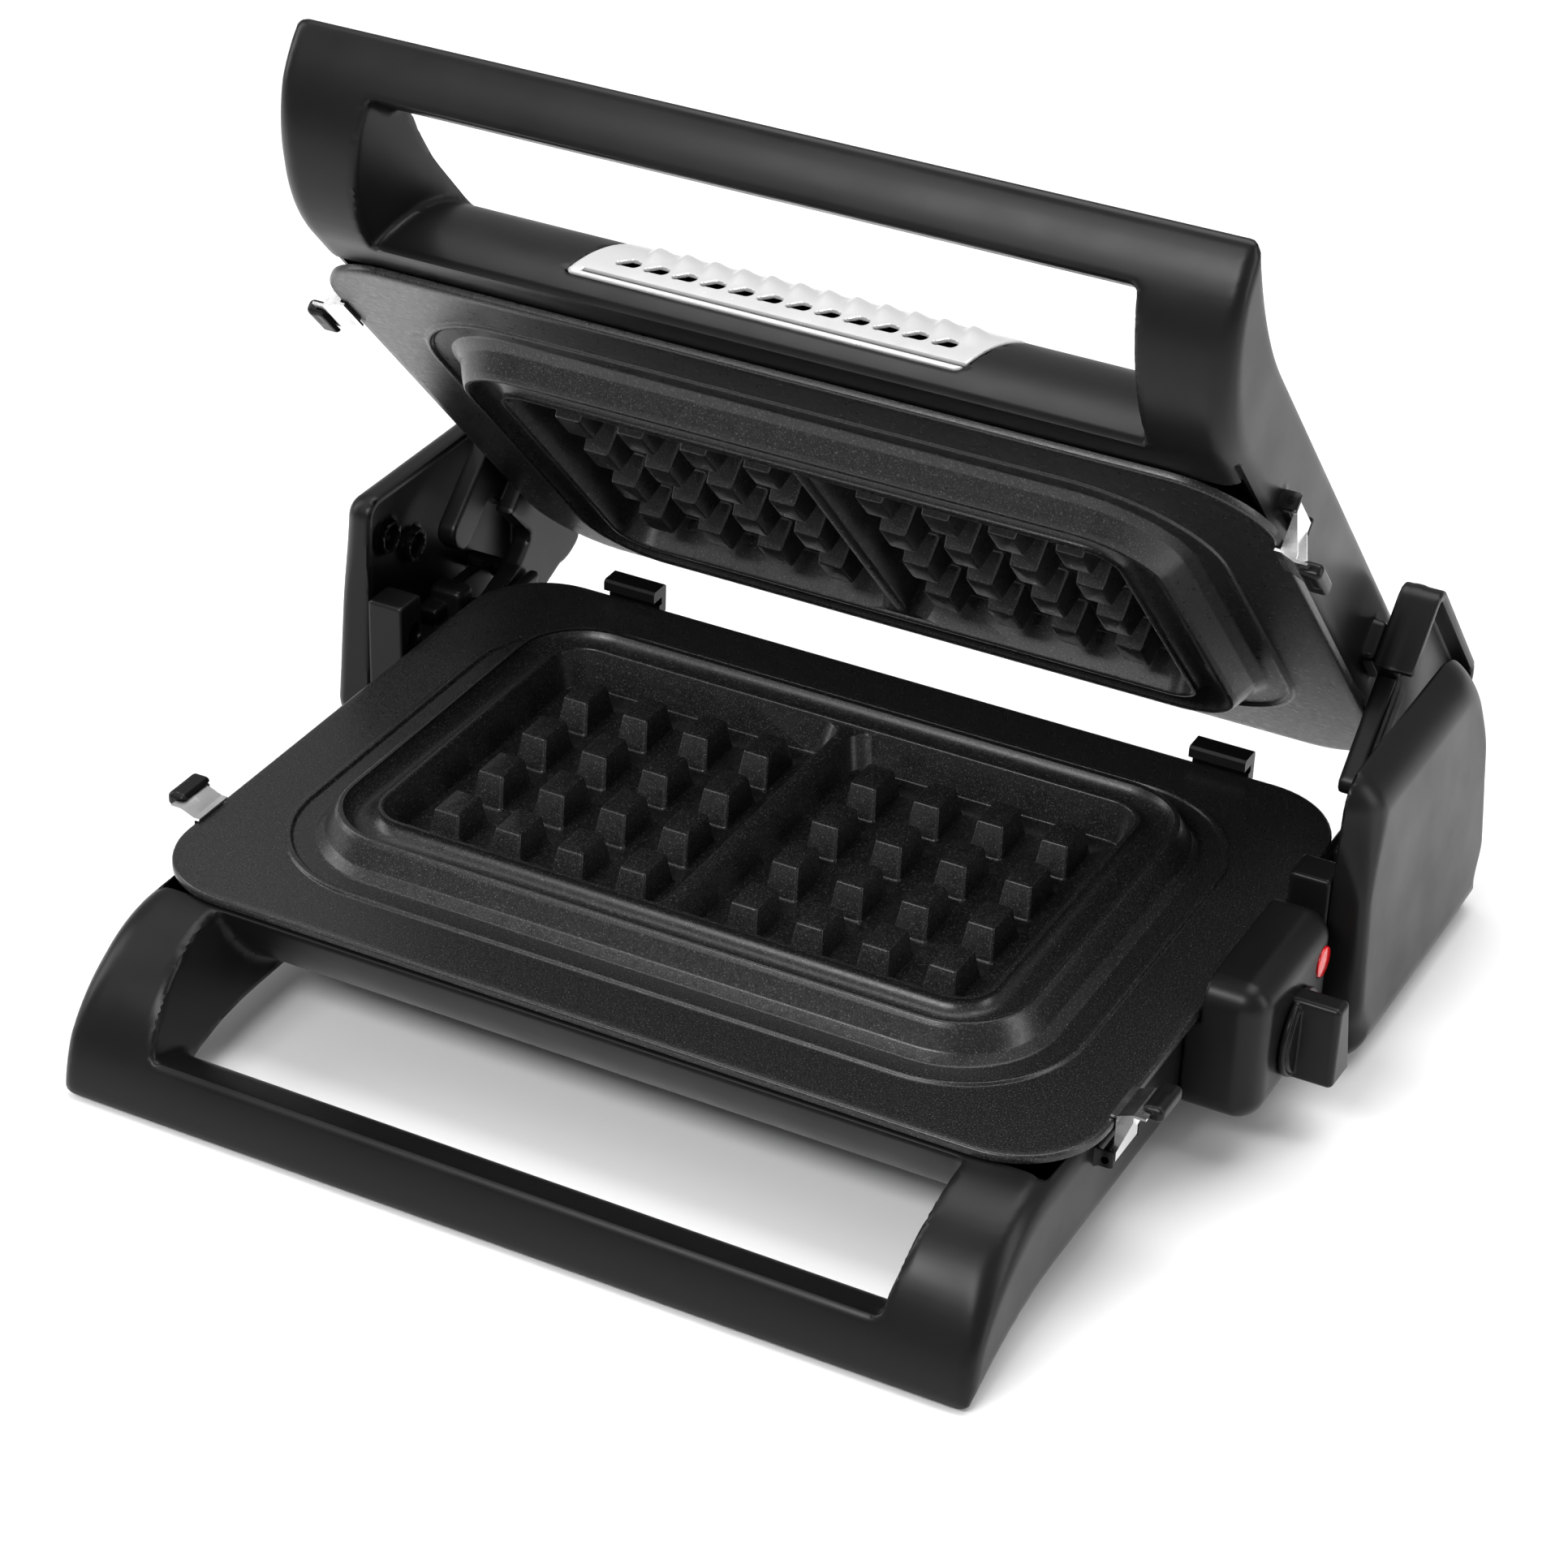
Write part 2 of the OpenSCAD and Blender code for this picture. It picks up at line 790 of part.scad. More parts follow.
// The right arm's prong is on its web, the left arm's is one layer further out
module lid_arm(s)
    color(black)
        place_arm()
            side(s)
                difference() {
                    union() {
                        across(web_in, web_out)
                            arm_web_profile(s < 0 ? 76 : 61);
                        if (s < 0)
                            across(web_out - 0.5, cap_out)
                                prong_profile(13.6, 5.2, 28);
                        else
                            across(web_in, web_out)
                                prong_profile(7.2, 3.6, 14);
                        across(web_out - 0.5, cap_out)
                            arm_rim_profile();
                        rod_x(web_out - 0.5, cap_out, pivot_y, pivot_z, 9);
                    }
                    rod_x(web_in - 1, cap_out + 1, pivot_y, pivot_z, pin_r + run_gap);
                    for (z = arm_screws_z) {
                        rod_x(web_in - 1, cap_out, arm_screw_y, z, 1.5 + fit_gap);
                        rod_x(web_out - 2.2, web_out + 1, arm_screw_y, z, 3.3);
                    }
                }

module lid_arm_screws()
    color(steel)
        place_arm()
            for (s = [-1, 1])
                side(s)
                    for (z = arm_screws_z) {
                        rod_x(web_out - 2.1, web_out - 0.1, arm_screw_y, z, 3.2);
                        rod_x(web_in - 8, web_out - 2, arm_screw_y, z, 1.5);
                    }

// ---------- control box ----------

module control_box_outline(inset = 0)
    polygon(concat(
        [[shell_x + 0.1 + inset, box_floor + inset], [shell_x + 0.1 + inset, -6 - inset]],
        [[150.8 + inset, -3.4 - inset], [150.8 + inset, 9 - inset], [151.8 + inset, 10 - inset]],
        arc(box_out - 8, 2, 8 - inset, 90, 0, 6),
        arc(box_out - 7, box_floor + 7, 7 - inset, 0, -90, 5)));

module control_box_plan(inset = 0) {
    translate([shell_x - 2, box_front + inset])
        square([box_out - 8 - shell_x + 2, box_rear - box_front - 2 * inset]);
    translate([shell_x - 2, box_front + 8])
        square([box_out - shell_x + 2 - inset, box_rear - box_front - 8 - inset]);
    translate([box_out - 8, box_front + 8])
        circle(8 - inset);
}

module control_box()
    color(black)
        place_base()
            difference() {
                intersection() {
                    along(box_front - 1, box_rear + 0.2)
                        control_box_outline();
                    translate([0, 0, -45])
                        linear_extrude(60)
                            control_box_plan();
                }
                intersection() {
                    along(box_front + wall, box_rear - wall)
                        control_box_outline(2.4);
                    translate([0, 0, -45])
                        linear_extrude(60)
                            control_box_plan(2.4);
                }
                box([shell_x - 1, -12, -30], [shell_x + 4, 32, -8]);
                rod_x(box_out - 5, box_out + 1, knob_y, knob_z, 3 + run_gap);
                translate([box_out - 5, lens_y, lens_z])
                    rotate([0, 90, 0])
                        cylinder(h = 7, r = lens_r + fit_gap);
            }

module indicator_lens()
    color(red)
        place_base()
            rod_x(box_out - 2.4, box_out + 0.8, lens_y, lens_z, lens_r);

module indicator_lamp()
    color(ceramic)
        place_base()
            rod_x(153.5, box_out - 2.5, lens_y, lens_z, 2.6);

module thermostat_body()
    color(ceramic)
        place_base()
            difference() {
                union() {
                    rod_x(151, 158, knob_y, knob_z, 9);
                    box([150, knob_y - 16, knob_z - 6], [152, knob_y + 16, knob_z + 6]);
                    rod_x(157.5, 162, knob_y, knob_z, 5);
                }
                rod_x(152, 163, knob_y, knob_z, 3 + run_gap);
            }

module thermostat_shaft()
    color(steel)
        place_base()
            difference() {
                rod_x(153, 180, knob_y, knob_z, 3);
                box([171.5, knob_y + 1.6, knob_z - 4], [181, knob_y + 4, knob_z + 4]);
            }

module control_knob()
    color(black)
        place_base()
            difference() {
                union() {
                    rod_x(box_out + 0.4, box_out + 2.6, knob_y, knob_z, knob_r);
                    rod_x(box_out + 2.5, box_out + 3.4, knob_y, knob_z, knob_r - 1.6);
                    across(box_out + 3.3, 184.4)
                        polygon([[knob_y - 7, knob_z - 11], [knob_y - 5.4, knob_z - 12.6],
                            [knob_y + 5.4, knob_z - 12.6], [knob_y + 7, knob_z - 11],
                            [knob_y + 5.4, knob_z + 11.4], [knob_y + 4, knob_z + 12.6],
                            [knob_y - 4, knob_z + 12.6], [knob_y - 5.4, knob_z + 11.4]]);
                }
                difference() {
                    rod_x(box_out - 1, 180.1, knob_y, knob_z, 3 + fit_gap);
                    box([171.55, knob_y + 1.63, knob_z - 4], [181, knob_y + 4, knob_z + 4]);
                }
            }

// ---------- small electrical parts and feet ----------

module thermal_fuse()
    color(ceramic)
        place_base() {
            rod_x(-14, 14, 0, tray_floor - 1.95, 0.9);
            rod_x(-7, 7, 0, tray_floor - 1.95, 1.9);
        }

module terminal_block()
    color(ceramic)
        place_base()
            difference() {
                box([58, 86.5, -32.95], [86, 99.5, -20]);
                for (x = [62.5, 72, 81.5])
                    rod_y(86, 100, x, -27, 2);
                for (x = [62.5, 72, 81.5])
                    translate([x, 93, -26])
                        cylinder(h = 8, r = 1.6);
            }

module cord_gland()
    color(rubber)
        place_base()
            difference() {
                union() {
                    rod_y(base_rear - 4.6, base_rear + 9, 96, gland_z, 5);
                    rod_y(base_rear - 4.6, base_rear - wall - fit_gap, 96, gland_z, 6.5);
                    rod_y(base_rear + fit_gap, base_rear + 2, 96, gland_z, 7);
                }
                rod_y(base_rear - 6, base_rear + 10, 96, gland_z, 3.2);
            }

module rubber_feet()
    color(rubber)
        place_base()
            for (s = [-1, 1]) {
                translate([s * 128, -147, -flange_h])
                    cylinder(h = 6, r = 4.6);
                for (y = [62, 142])
                    translate([s * foot_x, y, -flange_h])
                        cylinder(h = 2.9, r = 4.1);
            }

base_shell();
base_bottom_cover();
bottom_cover_screws();
lower_reflector_tray();
lower_heating_element();
lower_waffle_plate();
rear_plate_hooks();
post_cover(-1);  // post_cover_left
post_cover(1);  // post_cover_right
hinge_bracket(-1);  // hinge_bracket_left
hinge_bracket(1);  // hinge_bracket_right
hinge_pins();
pin_retaining_rings();
post_screws();
control_box();
thermostat_body();
thermostat_shaft();
control_knob();
indicator_lens();
indicator_lamp();
thermal_fuse();
terminal_block();
cord_gland();
rubber_feet();
lower_clip_pins();
lower_clip(-1);  // lower_clip_left
lower_clip_tab(-1);  // lower_clip_tab_left
lower_clip(1);  // lower_clip_right
lower_clip_tab(1);  // lower_clip_tab_right
lid_shell();
vent_grille();
upper_reflector_tray();
upper_heating_element();
upper_waffle_plate();
lid_arm(-1);  // lid_arm_left
lid_arm(1);  // lid_arm_right
lid_arm_screws();
upper_clip_pins();
upper_clip(-1);  // upper_clip_left
upper_clip_tab(-1);  // upper_clip_tab_left
upper_clip(1);  // upper_clip_right
upper_clip_tab(1);  // upper_clip_tab_right
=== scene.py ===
"""Looks of the double waffle maker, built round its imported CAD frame.

Shapes are worked out in machine millimetres: x to the right from the plate's
centre, y towards the hinge, z up from the lower plate's flange. Lid pieces are
built closed and mirrored, as the lid half is the base half turned over.
"""

import json
import math
from functools import partial

import bmesh
import bpy
import numpy as np
from mathutils import Matrix, Vector

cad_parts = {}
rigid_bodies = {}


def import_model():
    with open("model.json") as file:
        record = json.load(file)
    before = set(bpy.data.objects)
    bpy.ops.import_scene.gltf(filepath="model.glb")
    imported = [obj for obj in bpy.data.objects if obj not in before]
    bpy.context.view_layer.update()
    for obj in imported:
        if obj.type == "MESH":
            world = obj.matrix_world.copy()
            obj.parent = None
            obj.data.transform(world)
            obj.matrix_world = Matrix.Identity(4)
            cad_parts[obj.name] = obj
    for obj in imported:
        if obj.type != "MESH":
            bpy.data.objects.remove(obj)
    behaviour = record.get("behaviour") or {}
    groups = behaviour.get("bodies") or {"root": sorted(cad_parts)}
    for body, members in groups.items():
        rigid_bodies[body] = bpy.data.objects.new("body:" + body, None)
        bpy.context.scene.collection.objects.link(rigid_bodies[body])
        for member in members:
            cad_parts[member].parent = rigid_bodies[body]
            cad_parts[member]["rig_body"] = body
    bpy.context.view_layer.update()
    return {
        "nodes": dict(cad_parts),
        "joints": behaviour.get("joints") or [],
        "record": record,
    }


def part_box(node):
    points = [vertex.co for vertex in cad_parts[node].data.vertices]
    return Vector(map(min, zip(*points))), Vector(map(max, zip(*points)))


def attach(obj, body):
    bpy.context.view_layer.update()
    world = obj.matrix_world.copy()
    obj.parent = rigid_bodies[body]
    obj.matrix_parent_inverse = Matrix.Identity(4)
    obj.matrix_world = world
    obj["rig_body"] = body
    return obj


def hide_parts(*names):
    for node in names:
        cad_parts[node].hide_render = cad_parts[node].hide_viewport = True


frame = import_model()

# ---------- where the machine stands in the frame ----------

MM = 0.001
# plates: height of the lip, and flange to flange when closed
LIP_H = 10.0
CLOSED_GAP = 2 * LIP_H + 0.4
# how far the lid stands forward of the base when closed
LEAD = 12.0
# half housings: rim under the flange, deck, rear ends, half width, wall
RIM_Z = -3.0
DECK_Z = -36.0
BASE_REAR, LID_REAR = 114.5, 124.4
SHELL_X = 146.0
WALL = 3.0
CORNER_R, REAR_R = 24.0, 14.0
# round front of the housing, behind the grip opening
SHOULDER_Y, SHOULDER_R = -66.0, 45.8
SHOULDER_Z = DECK_Z + SHOULDER_R
# inner side of the grip's two arms, at the rim
ARM_IN = 120.5
# hinge posts, and the layers of a lid arm from the inside out
POST_IN, POST_TOP, POST_FRONT, POST_REAR = 165.0, 48.0, 43.0, 148.2
POST_FLOOR, POST_FOOT_REAR, POST_REAR_R = -49.4, 155.0, 24.0
WEB_IN, WEB_OUT, CAP_OUT = 150.5, 157.0, 163.2
# control box, knob and lens
BOX_OUT, BOX_FRONT, BOX_REAR, BOX_FLOOR = 169.5, -18.0, 39.0, -35.5
KNOB_Y, KNOB_Z, KNOB_R = 10.0, -16.2, 13.6
LENS_Y, LENS_Z, LENS_R = 29.2, -3.7, 4.8

plate_low, plate_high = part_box("lower_waffle_plate")
ORIGIN = np.array([(plate_low.x + plate_high.x) / 2, (plate_low.y + plate_high.y) / 2,
                   plate_high.z - LIP_H * MM])
LID_HINGE = next(j for j in frame["joints"] if j["name"] == "lid_hinge")
PIVOT = (np.array(LID_HINGE["pos_m"]) - ORIGIN) / MM
OPEN = math.radians(LID_HINGE["range_deg"][1])


def place_base(p):
    return p * MM + ORIGIN


def place_arm(p):
    """A closed-lid point, turned back about the hinge to the rest pose."""
    c, s = math.cos(OPEN), math.sin(OPEN)
    y, z = p[:, 1] - PIVOT[1], p[:, 2] - PIVOT[2]
    turned = np.stack([p[:, 0], PIVOT[1] + c * y + s * z, PIVOT[2] - s * y + c * z], 1)
    return place_base(turned)


def place_lid(p):
    return place_arm(p * [1, 1, -1] + [0, 0, CLOSED_GAP])


# ---------- signed distance shapes, in millimetres ----------

def smax(a, b, r):
    """Intersection whose edge is rounded to radius r."""
    u, v = np.maximum(a + r, 0), np.maximum(b + r, 0)
    return np.minimum(np.maximum(a, b), -r) + np.hypot(u, v)


def smin(a, b, r):
    """Union with a fillet of radius r."""
    return -smax(-a, -b, r)


def cut(a, b, r):
    """a with b taken away, the new edge rounded to r."""
    return smax(a, -b, r)


def sd_poly(u, v, points):
    """Distance to a closed outline, negative inside it."""
    d = np.full(np.broadcast(u, v).shape, 1e9)
    sign = np.ones(d.shape)
    for (ax, ay), (bx, by) in zip(points, points[1:] + points[:1]):
        ex, ey = bx - ax, by - ay
        wx, wy = u - ax, v - ay
        t = np.clip((wx * ex + wy * ey) / max(ex * ex + ey * ey, 1e-12), 0, 1)
        d = np.minimum(d, (wx - ex * t) ** 2 + (wy - ey * t) ** 2)
        above, below, left = v >= ay, v < by, ex * wy > ey * wx
        flip = (above & below & left) | ~(above | below | left)
        sign = np.where(flip, -sign, sign)
    return sign * np.sqrt(d)


def sd_rect(u, v, u0, u1, v0, v1, r):
    """Distance to a rectangle with corners of radius r."""
    qu = np.abs(u - (u0 + u1) / 2) - (u1 - u0) / 2 + r
    qv = np.abs(v - (v0 + v1) / 2) - (v1 - v0) / 2 + r
    return np.hypot(np.maximum(qu, 0), np.maximum(qv, 0)) + np.minimum(np.maximum(qu, qv), 0) - r


def sd_box(p, low, high, r):
    """Distance to a box between two corners, its edges rounded to r."""
    q = [np.abs(c - (a + b) / 2) - (b - a) / 2 + r for c, a, b in zip(p, low, high)]
    out = np.sqrt(sum(np.maximum(c, 0) ** 2 for c in q))
    return out + np.minimum(np.maximum(np.maximum(q[0], q[1]), q[2]), 0) - r


def sd_rod_x(p, x0, x1, y, z, radius, r=0.3):
    """Distance to a rod along x, its end edges rounded to r."""
    return smax(np.hypot(p[1] - y, p[2] - z) - radius, np.abs(p[0] - (x0 + x1) / 2) - (x1 - x0) / 2, r)


def arc(cx, cy, r, a0, a1, n=12):
    """n + 1 points of an arc from a0 to a1 degrees."""
    angles = np.radians(np.linspace(a0, a1, n + 1))
    return [(cx + r * math.cos(a), cy + r * math.sin(a)) for a in angles]


def fade(value, start, end):
    """Smooth step from 0 at start to 1 at end."""
    t = np.clip((value - start) / (end - start), 0, 1)
    return t * t * (3 - 2 * t)


def polygonise(field, low, high, cell):
    """Closed quad mesh of the surface field = 0, its points moved onto that surface."""
    axes = [np.arange(a - 1.5 * cell, b + 2.5 * cell, cell) for a, b in zip(low, high)]
    grid = np.meshgrid(*axes, indexing="ij", sparse=True)
    d = np.asarray(field(grid), np.float32)
    shape = tuple(n - 1 for n in d.shape)
    total = np.zeros(shape + (3,), np.float32)
    count = np.zeros(shape, np.float32)
    crossings = []
    # every grid cell that the surface passes through gets the mean of its edge crossings
    for k in range(3):
        a, b = np.moveaxis(d, k, 0)[:-1], np.moveaxis(d, k, 0)[1:]
        cross = np.moveaxis((a < 0) != (b < 0), 0, k)
        gap = np.where(a == b, 1, a - b)
        t = np.moveaxis(np.clip(a / gap, 0, 1), 0, k)
        i, j = [m for m in range(3) if m != k]
        crossings.append((cross, np.moveaxis(a < 0, 0, k)))
        for di in (0, 1):
            for dj in (0, 1):
                part = [slice(None)] * 3
                part[i] = slice(di, d.shape[i] - 1 + di)
                part[j] = slice(dj, d.shape[j] - 1 + dj)
                hit = cross[tuple(part)]
                total[..., k] += np.where(hit, t[tuple(part)], 0)
                total[..., i] += np.where(hit, di, 0)
                total[..., j] += np.where(hit, dj, 0)
                count += hit
    used = count > 0
    index = np.full(shape, -1, np.int64)
    index[used] = np.arange(used.sum())
    corner = np.stack(np.nonzero(used), 1)
    start = np.array([a[0] for a in axes])
    points = start + (corner + total[used] / count[used][:, None]) * cell
    quads = []
    # every crossed grid edge joins the four cells round it into one face
    for k, (cross, inside) in enumerate(crossings):
        i, j = [m for m in range(3) if m != k]
        at = np.stack(np.nonzero(cross), 1)
        at = at[(at[:, i] > 0) & (at[:, j] > 0) & (at[:, i] < shape[i]) & (at[:, j] < shape[j])]
        ring = []
        for di, dj in ((1, 1), (0, 1), (0, 0), (1, 0)):
            q = at.copy()
            q[:, i] -= di
            q[:, j] -= dj
            ring.append(index[tuple(q.T)])
        ring = np.stack(ring, 1)
        back = inside[tuple(at.T)] == (k == 1)
        ring[back] = ring[back][:, ::-1]
        quads.append(ring)
    return settle(field, points, cell), np.concatenate(quads)


def settle(field, points, cell):
    """Three Newton steps along the field's slope, none longer than a third of a cell."""
    h = 0.02
    for _ in range(3):
        d = field(list(points.T))
        g = []
        for k in range(3):
            p = [c.copy() for c in points.T]
            p[k] += h
            g.append((field(p) - d) / h)
        g = np.stack(g, 1)
        step = -(d / np.maximum((g ** 2).sum(1), 0.2))[:, None] * g
        size = np.linalg.norm(step, axis=1, keepdims=True)
        points = points + step * np.minimum(1, 0.35 * cell / np.maximum(size, 1e-9))
    return points


# ---------- pieces ----------

def make_piece(name, points, faces, mirrored=False, sharp=40.0):
    faces = [tuple(f) for f in np.asarray(faces).tolist()] if not isinstance(faces, list) else faces
    mesh = bpy.data.meshes.new(name)
    mesh.from_pydata(points.tolist(), [], [f[::-1] for f in faces] if mirrored else faces)
    mesh.validate()
    mesh.shade_smooth()
    mesh.set_sharp_from_angle(angle=math.radians(sharp))
    piece = bpy.data.objects.new(name, mesh)
    bpy.context.scene.collection.objects.link(piece)
    return piece


def dress(piece, body, slot, material, *nodes):
    """Material and body of a piece, and the CAD nodes it stands for; slot is not used."""
    piece.data.materials.clear()
    piece.data.materials.append(material)
    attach(piece, body)
    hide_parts(*nodes)
    return piece


def sdf_piece(name, field, low, high, cell, place, side=1):
    """Piece from a distance field; side -1 mirrors it to the left of the machine."""
    points, quads = polygonise(field, low, high, cell)
    points = points * [side, 1, 1]
    return make_piece(name, place(points), quads, (side < 0) != (place is place_lid))


# ---------- half housings ----------

NOSE_Y, NOSE_HY, NOSE_HZ = -108.0, 47.5, 49.0
BAR_BACK, BAR_DROP = -100.0, 13.4


def side_outline(rear):
    """Side view of a half: rim, drooping nose, underside of the bar, deck and rear."""
    turn = np.radians(np.arange(92, 174.1, 2))
    nose = [(NOSE_Y + NOSE_HY * math.cos(a), RIM_Z - NOSE_HZ + NOSE_HZ * math.sin(a)) for a in turn]
    droop = [(y, DECK_Z - BAR_DROP * ((BAR_BACK - y) / 54) ** 2) for y in range(-150, -99, 3)]
    return (
        [(rear, RIM_Z), (NOSE_Y, RIM_Z)]
        + nose
        + arc(-152.6, -46.6, 2.8, 180, 262, 6)
        + droop
        + [(BAR_BACK, DECK_Z)]
        + arc(rear - REAR_R, DECK_Z + REAR_R, REAR_R, -90, 0, 8)
    )


def tub_outline(rear):
    """Side view of the hollow, one wall inside the shoulder, deck and rear."""
    return (
        [(-110 + WALL * 1.05, RIM_Z + 8)]
        + arc(SHOULDER_Y, SHOULDER_Z, SHOULDER_R - WALL, 197, 270, 40)
        + arc(rear - REAR_R, DECK_Z + REAR_R, REAR_R - WALL, -90, 0, 8)
        + [(rear - WALL, RIM_Z + 8)]
    )


def gap_outline():
    """Side view of the grip opening, from the bar's back to the shoulder."""
    return (
        [(-154.5, -22), (-151.3, -30.6)]
        + arc(-141.2, -41.6, 7.4, 68, 0, 6)
        + [(-133.8, -45), (-135.2, -48.2), (-137, -60), (-66, -60)]
        + arc(SHOULDER_Y, SHOULDER_Z, SHOULDER_R, 270, 197, 40)
        + [(-110, -3), (-110, 8), (-140, 8)]
    )


GAP = gap_outline()


def half_housing(p, rear):
    """Housing with its grip opening; the edges are tighter low down."""
    x, y, z = p
    plan = sd_rect(x, y, -SHELL_X, SHELL_X, -190, rear, CORNER_R)
    edge = 4 + 4 * np.clip((z + 32) / 18, 0, 1)
    shell = smax(sd_poly(y, z, side_outline(rear)), plan, edge)
    grip_wall = np.abs(x) - (ARM_IN + (z - RIM_Z) * 7 / 47)
    opening = smax(grip_wall, sd_poly(y, z, GAP), 2.0)
    return cut(shell, opening, 1.3)


def tub(p, rear, front_land, rear_land):
    """The hollow under the plate, roofed in front of and behind its opening."""
    x, y, z = p
    plan = sd_rect(x, y, WALL - SHELL_X, SHELL_X - WALL, -190, rear - WALL, CORNER_R - WALL)
    hollow = smax(sd_poly(y, z, tub_outline(rear)), plan, 2.0)
    low = np.maximum(hollow, z - RIM_Z + WALL)
    top = np.maximum(hollow, np.maximum(y - rear_land, front_land - y))
    return np.minimum(low, top)


EAR_FRONTS, EAR_OUT, EAR_T = (-79.2, -61.6), 151.4, 1.8


def clip_ears(p):
    """Two ears on each side that hold a clip's pin."""
    across = [np.abs(p[0]), p[1], p[2]]
    front, rear = (sd_box(across, (SHELL_X - 2, y, -16), (EAR_OUT, y + EAR_T, -10), 0.6) for y in EAR_FRONTS)
    return np.minimum(front, rear)


def base_field(p):
    shell = cut(half_housing(p, BASE_REAR), tub(p, BASE_REAR, -120, 103), 0.4)
    shell = np.minimum(shell, clip_ears(p))
    service = sd_box(p, (-84, -50, -42), (84, 85, DECK_Z + WALL + 2), 1)
    return cut(shell, service, 0.5)


def lid_field(p):
    """The lid half, with pads for its arms and a window for the grille."""
    x, y, z = p
    led = [x, y + LEAD, z]
    shell = cut(half_housing(led, LID_REAR), tub(led, LID_REAR, -94.5, 105), 0.4)
    pad_low = (SHELL_X - 8, 47.5, CLOSED_GAP - 47)
    pads = sd_box([np.abs(x), y, z], pad_low, (WEB_IN, 66, CLOSED_GAP - 34), 1.5)
    shell = np.minimum(smin(shell, pads, 1.0), clip_ears(p))
    radius, angle = grille_polar(p)
    window = np.maximum(grille_edge(x, angle) - 0.12, np.abs(radius - SHOULDER_R + 2) - 4)
    return cut(shell, window, 0.3)


# ---------- vent grille ----------

GRILLE_X, GRILLE_Y = 2.2, SHOULDER_Y - LEAD
GRILLE_A0, GRILLE_A1 = 208.4, 249.0
GRILLE_HX = 61.6
SEAM_A, SEAM_HALF = 211.4, 0.7
HOLE_PITCH, HOLES = 9.0, 12
FIRST_HOLE = -47.3
HOLE_TIP_A, HOLE_HEAD_A = 220.2, 222.2
HOLE_RUN, TIP_R, HEAD_R = 3.4, 0.9, 2.6
HOOD_H = 1.3


def grille_polar(p):
    """Radius and degrees about the axis of the lid's shoulder."""
    dy, dz = p[1] - GRILLE_Y, p[2] - SHOULDER_Z
    return np.hypot(dy, dz), np.degrees(np.arctan2(dz, dy)) % 360


def arc_mm(angle, start):
    """Distance along the shoulder from start to angle."""
    return (angle - start) * math.radians(1) * SHOULDER_R


def grille_edge(x, angle):
    """Outline of the grille laid out flat, its ends leaning a little."""
    middle, half = (GRILLE_A0 + GRILLE_A1) / 2, (GRILLE_A1 - GRILLE_A0) / 2
    ends = np.abs(x - GRILLE_X - 0.14 * (angle - middle)) - GRILLE_HX
    return smax(arc_mm(np.abs(angle - middle), half), ends, 2.0)


def hood_height(x, angle):
    """Overlapping louvre hoods, steep beside their own hole, easing down to the next."""
    crease = FIRST_HOLE + 2.2 - 0.23 * (angle - 224)
    u = (x - crease) / HOLE_PITCH
    share = np.where((u > 0) & (u < HOLES), u % 1.0, 1.0)
    rise = fade(share, 0, 0.34) * fade(share, 1, 0.3)
    return HOOD_H * rise * fade(angle, 222.5, 234) * fade(angle, 249, 241)


def drop_holes(x, angle):
    """Drop-shaped holes, their tips to the left."""
    rise = arc_mm(HOLE_HEAD_A, HOLE_TIP_A)
    v = arc_mm(angle, HOLE_TIP_A)
    shape = None
    for i in range(HOLES):
        u = x - (FIRST_HOLE + i * HOLE_PITCH - 2.7)
        t = np.clip((u * HOLE_RUN + v * rise) / (HOLE_RUN ** 2 + rise ** 2), 0, 1)
        hole = np.hypot(u - HOLE_RUN * t, v - rise * t) - (TIP_R + (HEAD_R - TIP_R) * t)
        shape = hole if shape is None else np.minimum(shape, hole)
    return shape


def grille_field(p):
    x = p[0]
    radius, angle = grille_polar(p)
    depth = np.abs(radius - SHOULDER_R - hood_height(x, angle) + 0.2) - 0.6
    skin = smax(depth, grille_edge(x, angle), 0.5)
    skin = cut(skin, drop_holes(x, angle), 0.25)
    seam_ends = np.abs(x - GRILLE_X) - GRILLE_HX + 1.6
    seam = np.maximum(np.abs(arc_mm(angle, SEAM_A)) - SEAM_HALF, seam_ends)
    return cut(skin, seam, 0.2)


# ---------- hinge posts and lid arms ----------

POST_SCREWS = ((60, -24), (132, -41))
POST_BOSSES = ((66, 25), (81.5, 15))
LONG_BOSS = (121.4, -9.7)
# radius of the front corner, and rounding over the top
POST_CORNERS = {"left": (7.0, 6.0), "right": (12.0, 15.0)}


def post_outline(front_r, inset=0.0):
    """Side view of a post, from its front corner over the top and down."""
    return (
        arc(POST_FRONT + front_r + 1, POST_TOP - front_r, front_r - inset, 175, 90)
        + arc(POST_REAR - POST_REAR_R, POST_TOP - POST_REAR_R, POST_REAR_R - inset, 90, 4)
        + arc(POST_FOOT_REAR - 8, POST_FLOOR + 8, 8 - inset, 0, -90, 8)
        + arc(POST_FRONT + 8, POST_FLOOR + 9, 9 - inset, -90, -176, 8)
    )


